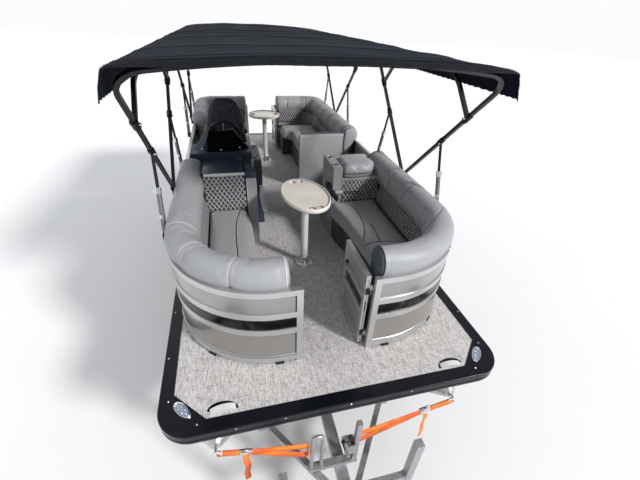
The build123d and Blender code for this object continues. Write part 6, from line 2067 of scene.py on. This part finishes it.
class BOAT_OT_straps(bpy.types.Operator):
    """Makes the doubled tie straps with their ratchet buckles, hooks and hanging tails"""

    bl_idname = "boat.straps"
    bl_label = "Tie straps"

    def execute(self, context):
        width = context.scene.boat_sizes.strap_width
        low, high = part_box("tie_straps")
        share_at_buckle = 0.3
        for side, sign, inner_x, deep in (("port", 1, 0.112, -0.120), ("starboard", -1, -0.282, -0.150)):
            eye = Vector((sign * (high.x - 0.004), (low.y + high.y) / 2, high.z - 0.020))
            inner = Vector((inner_x, BOW + 0.028, DECK - 0.500))
            run = inner - eye
            buckle = eye + run * share_at_buckle
            band = Build()
            for drop, ease, lean in ((0.0, 0.004, -0.004), (deep, 0.014, 0.004)):
                end = inner + Vector((0, 0, drop))
                line = []
                for share in spaced(0, 1, 0.05):
                    point = eye.lerp(end, share)
                    if drop and share < share_at_buckle:
                        point = eye.lerp(buckle, share / share_at_buckle)
                    elif drop:
                        point = buckle.lerp(end, (share - share_at_buckle) / (1 - share_at_buckle))
                    line.append(point + Vector((0, lean, -ease * sin(pi * share))))
                ribbon(band, line, width, (0, 0.25, 1))
            round_bar = ((-0.004, 0.018), (0.004, 0.0), (0.004, deep), (-0.004, deep - 0.018))
            loop = [inner + Vector((-sign * 0.004, dy, dz)) for dy, dz in round_bar]
            ribbon(band, eased(loop, 0.01), width, (0, 1, 0.1))
            strap = band.piece(f"strap_{side}", "webbing", slot="webbing", angle=None)
            strap_uv(strap)
            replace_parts(strap, "tie_straps")
            metal = Build()
            turn = PORTWARD.rotation_difference(run.normalized()).to_matrix()
            metal.block(buckle, (0.045, 0.008, 0.024), 0.003, turn=turn)
            metal.box(buckle - Vector((0.040, 0.018, 0.020)), buckle + Vector((0.010, -0.004, 0.020)), 0.003, turn=turn)
            metal.pin(buckle, (0, 0, 0.030), 0.009, sides=16)
            metal.ring(eye - PORTWARD * sign * 0.004, (0.3, 1, 0.2), 0.024, 0.0075, 28, 8, 1)
            metal.pin(eye - PORTWARD * sign * 0.03, (0, 0, 0.022), 0.006, sides=12, index=1)
            metal.piece(f"strap_metal_{side}", ["steel", "hook"], slot="webbing")
            tail = Build()
            top = buckle + Vector((0, -0.012, -0.01))
            drape = (
                (0, 0, 0), (sign * 0.004, -0.02, -0.05), (-sign * 0.012, -0.022, -0.13), (sign * 0.010, -0.02, -0.22),
                (sign * 0.004, -0.025, -0.32),
            )
            line = eased([top + Vector(step) for step in drape], 0.014)
            ribbon(tail, line, width * 0.95, (1, 0.35, 0))
            piece = tail.piece(f"strap_tail_{side}", "webbing", slot="webbing", angle=None)
            strap_uv(piece)
        return {"FINISHED"}


def strap_uv(thing):
    """A UV map in metres for a band, flat from its places."""
    mesh = thing.data
    layer = mesh.uv_layers.new(name="metres")
    for loop in mesh.loops:
        co = mesh.vertices[loop.vertex_index].co
        layer.data[loop.index].uv = (co.x + co.z, co.z - co.y)


FINISHES = {
    "float": ("pontoon_port", "pontoon_starboard"),
    "mill": ("deck_frame",),
    "bracket": ("engine_bracket",),
    "board": ("deck_board",),
    "floor": ("deck_floor",),
    "trim": ("deck_trim",),
    "lens": ("deck_lamps",),
    "satin": ("cleats",),
    "rail": ("fence_port", "fence_starboard"),
    "gate": ("front_gate", "stern_gate", "side_gate"),
    "panel": ("fence_panels",),
    "stripe": ("fence_stripe",),
    "base": (
        "lounge_base_front_port", "lounge_base_front_starboard", "lounge_base_aft_port", "lounge_base_aft_starboard",
    ),
    "moulded": ("arm_columns",),
    "gel": ("helm_console",),
    "screen": ("windscreen",),
    "black": ("steering_wheel",),
    "pale": ("pedestals",),
    "tube": ("top_frame_front", "top_frame_rear"),
    "zinc": ("trailer_frame", "trailer_axles", "winch_stand", "coupling", "jack_sleeve", "jack_foot"),
    "carpet": ("trailer_bunks",),
    "guard": ("mudguards",),
    "rim": tuple(f"rim_{end}_{side}" for end in ("front", "rear") for side, _ in SIDES),
    "rubber": tuple(f"tyre_{end}_{side}" for end in ("front", "rear") for side, _ in SIDES),
    "webbing": ("tie_straps",),
}


class BOAT_OT_finishes(bpy.types.Operator):
    """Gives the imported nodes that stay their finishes"""

    bl_idname = "boat.finishes"
    bl_label = "Finishes"

    def execute(self, context):
        for material, nodes in FINISHES.items():
            for node in nodes:
                paint(node, material)
        return {"FINISHED"}


class BOAT_OT_stage(bpy.types.Operator):
    """Makes the floor, the lights, the white surroundings and the camera"""

    bl_idname = "boat.stage"
    bl_label = "Stage"

    def execute(self, context):
        scene = context.scene
        floor = bpy.data.meshes.new("floor")
        low = CAD_BOX[0][2]
        reach = 60
        floor.from_pydata(
            [(-reach, -reach, low), (reach, -reach, low), (reach, reach, low), (-reach, reach, low)], [], [(0, 1, 2, 3)]
        )
        ground = bpy.data.objects.new("floor", floor)
        scene.collection.objects.link(ground)
        finish = Finish("pale_floor", (0.80, 0.80, 0.80), 0.9)
        cloud = finish.noise(0.6, 3)
        finish.put("Base Color", finish.mix(cloud, (0.78, 0.78, 0.785), (0.83, 0.83, 0.825)))
        finish.bump(finish.noise(40, 4), 0.001, 0.3)
        floor.materials.append(finish.material)
        self.lights(scene)
        self.camera(scene)
        scene.view_settings.view_transform = "Standard"
        return {"FINISHED"}

    def lights(self, scene):
        """A broad key from ahead and to port, two softer fills, and a white sky that the camera sees."""
        world = bpy.data.worlds.new("soft_sky")
        scene.world = world
        world.use_nodes = True
        tree = world.node_tree
        plain_sky = tree.nodes["Background"]
        plain_sky.inputs["Color"].default_value = (0.93, 0.96, 1.0, 1)
        plain_sky.inputs["Strength"].default_value = 0.62
        seen = tree.nodes.new("ShaderNodeBackground")
        seen.inputs["Color"].default_value = (0.97, 0.975, 0.98, 1)
        seen.inputs["Strength"].default_value = 1.0
        path = tree.nodes.new("ShaderNodeLightPath")
        either = tree.nodes.new("ShaderNodeMath")
        either.operation = "MAXIMUM"
        tree.links.new(path.outputs["Is Camera Ray"], either.inputs[0])
        tree.links.new(path.outputs["Is Transmission Ray"], either.inputs[1])
        mix = tree.nodes.new("ShaderNodeMixShader")
        tree.links.new(either.outputs[0], mix.inputs[0])
        tree.links.new(plain_sky.outputs[0], mix.inputs[1])
        tree.links.new(seen.outputs[0], mix.inputs[2])
        tree.links.new(mix.outputs[0], tree.nodes["World Output"].inputs["Surface"])
        for name, place, spread, power in (
            ("key", (6.0, -6.4, 5.6), 9, 3.1), ("fill", (-7.0, 0.5, 6.0), 60, 0.45), ("rear", (1.0, 9.0, 6.0), 50, 0.4),
        ):
            lamp = bpy.data.lights.new(name, "SUN")
            lamp.angle = radians(spread)
            lamp.energy = power
            thing = bpy.data.objects.new(name, lamp)
            thing.rotation_euler = (-Vector(place)).to_track_quat("-Z", "Y").to_euler()
            scene.collection.objects.link(thing)

    def camera(self, scene):
        """The camera at the photograph's place, turn, dip and lens."""
        turn, dip, roll = 0.2725, 0.5816, 0.053
        forward = Vector((sin(turn) * cos(dip), cos(turn) * cos(dip), -sin(dip)))
        level = Vector((cos(turn), -sin(turn), 0))
        upright = level.cross(forward)
        right = level * cos(roll) + upright * sin(roll)
        above = upright * cos(roll) - level * sin(roll)
        matrix = Matrix((right, above, -forward)).transposed().to_4x4()
        matrix.translation = (-0.6177, -3.7584, 3.5794)
        data = bpy.data.cameras.new("camera")
        data.lens = 19.165
        data.sensor_width = 36
        thing = bpy.data.objects.new("camera", data)
        thing.matrix_world = matrix
        scene.collection.objects.link(thing)
        scene.camera = thing


class BOAT_PT_panel(bpy.types.Panel):
    """Lists the boat's sizes, colours and makers"""

    bl_idname = "BOAT_PT_panel"
    bl_label = "Pontoon boat"
    bl_space_type = "VIEW_3D"
    bl_region_type = "UI"
    bl_category = "Pontoon boat"

    def draw(self, context):
        for group in (context.scene.boat_sizes, context.scene.boat_colours):
            column = self.layout.column()
            for name in group.bl_rna.properties.keys():
                if name not in ("rna_type", "name"):
                    column.prop(group, name)
        for maker in MAKERS:
            self.layout.operator(maker.bl_idname)


MAKERS = (
    BOAT_OT_finishes, BOAT_OT_bolsters, BOAT_OT_backs, BOAT_OT_seats, BOAT_OT_backrests, BOAT_OT_chair, BOAT_OT_helm,
    BOAT_OT_tables, BOAT_OT_canopies, BOAT_OT_tops, BOAT_OT_deck, BOAT_OT_fence, BOAT_OT_wheels, BOAT_OT_trailer,
    BOAT_OT_straps, BOAT_OT_stage,
)
CLASSES = (BoatSizes, BoatColours, *MAKERS, BOAT_PT_panel)


def register():
    """Adds the classes and the scene's own properties."""
    for one in CLASSES:
        bpy.utils.register_class(one)
    bpy.types.Scene.boat_sizes = PointerProperty(type=BoatSizes)
    bpy.types.Scene.boat_colours = PointerProperty(type=BoatColours)


def unregister():
    """Takes the classes and the properties away."""
    del bpy.types.Scene.boat_colours
    del bpy.types.Scene.boat_sizes
    for one in reversed(CLASSES):
        bpy.utils.unregister_class(one)


def main():
    """Makes everything."""
    register()
    make_materials()
    for maker in MAKERS:
        group, call = maker.bl_idname.split(".")
        getattr(getattr(bpy.ops, group), call)()


if __name__ == "__main__":
    main()
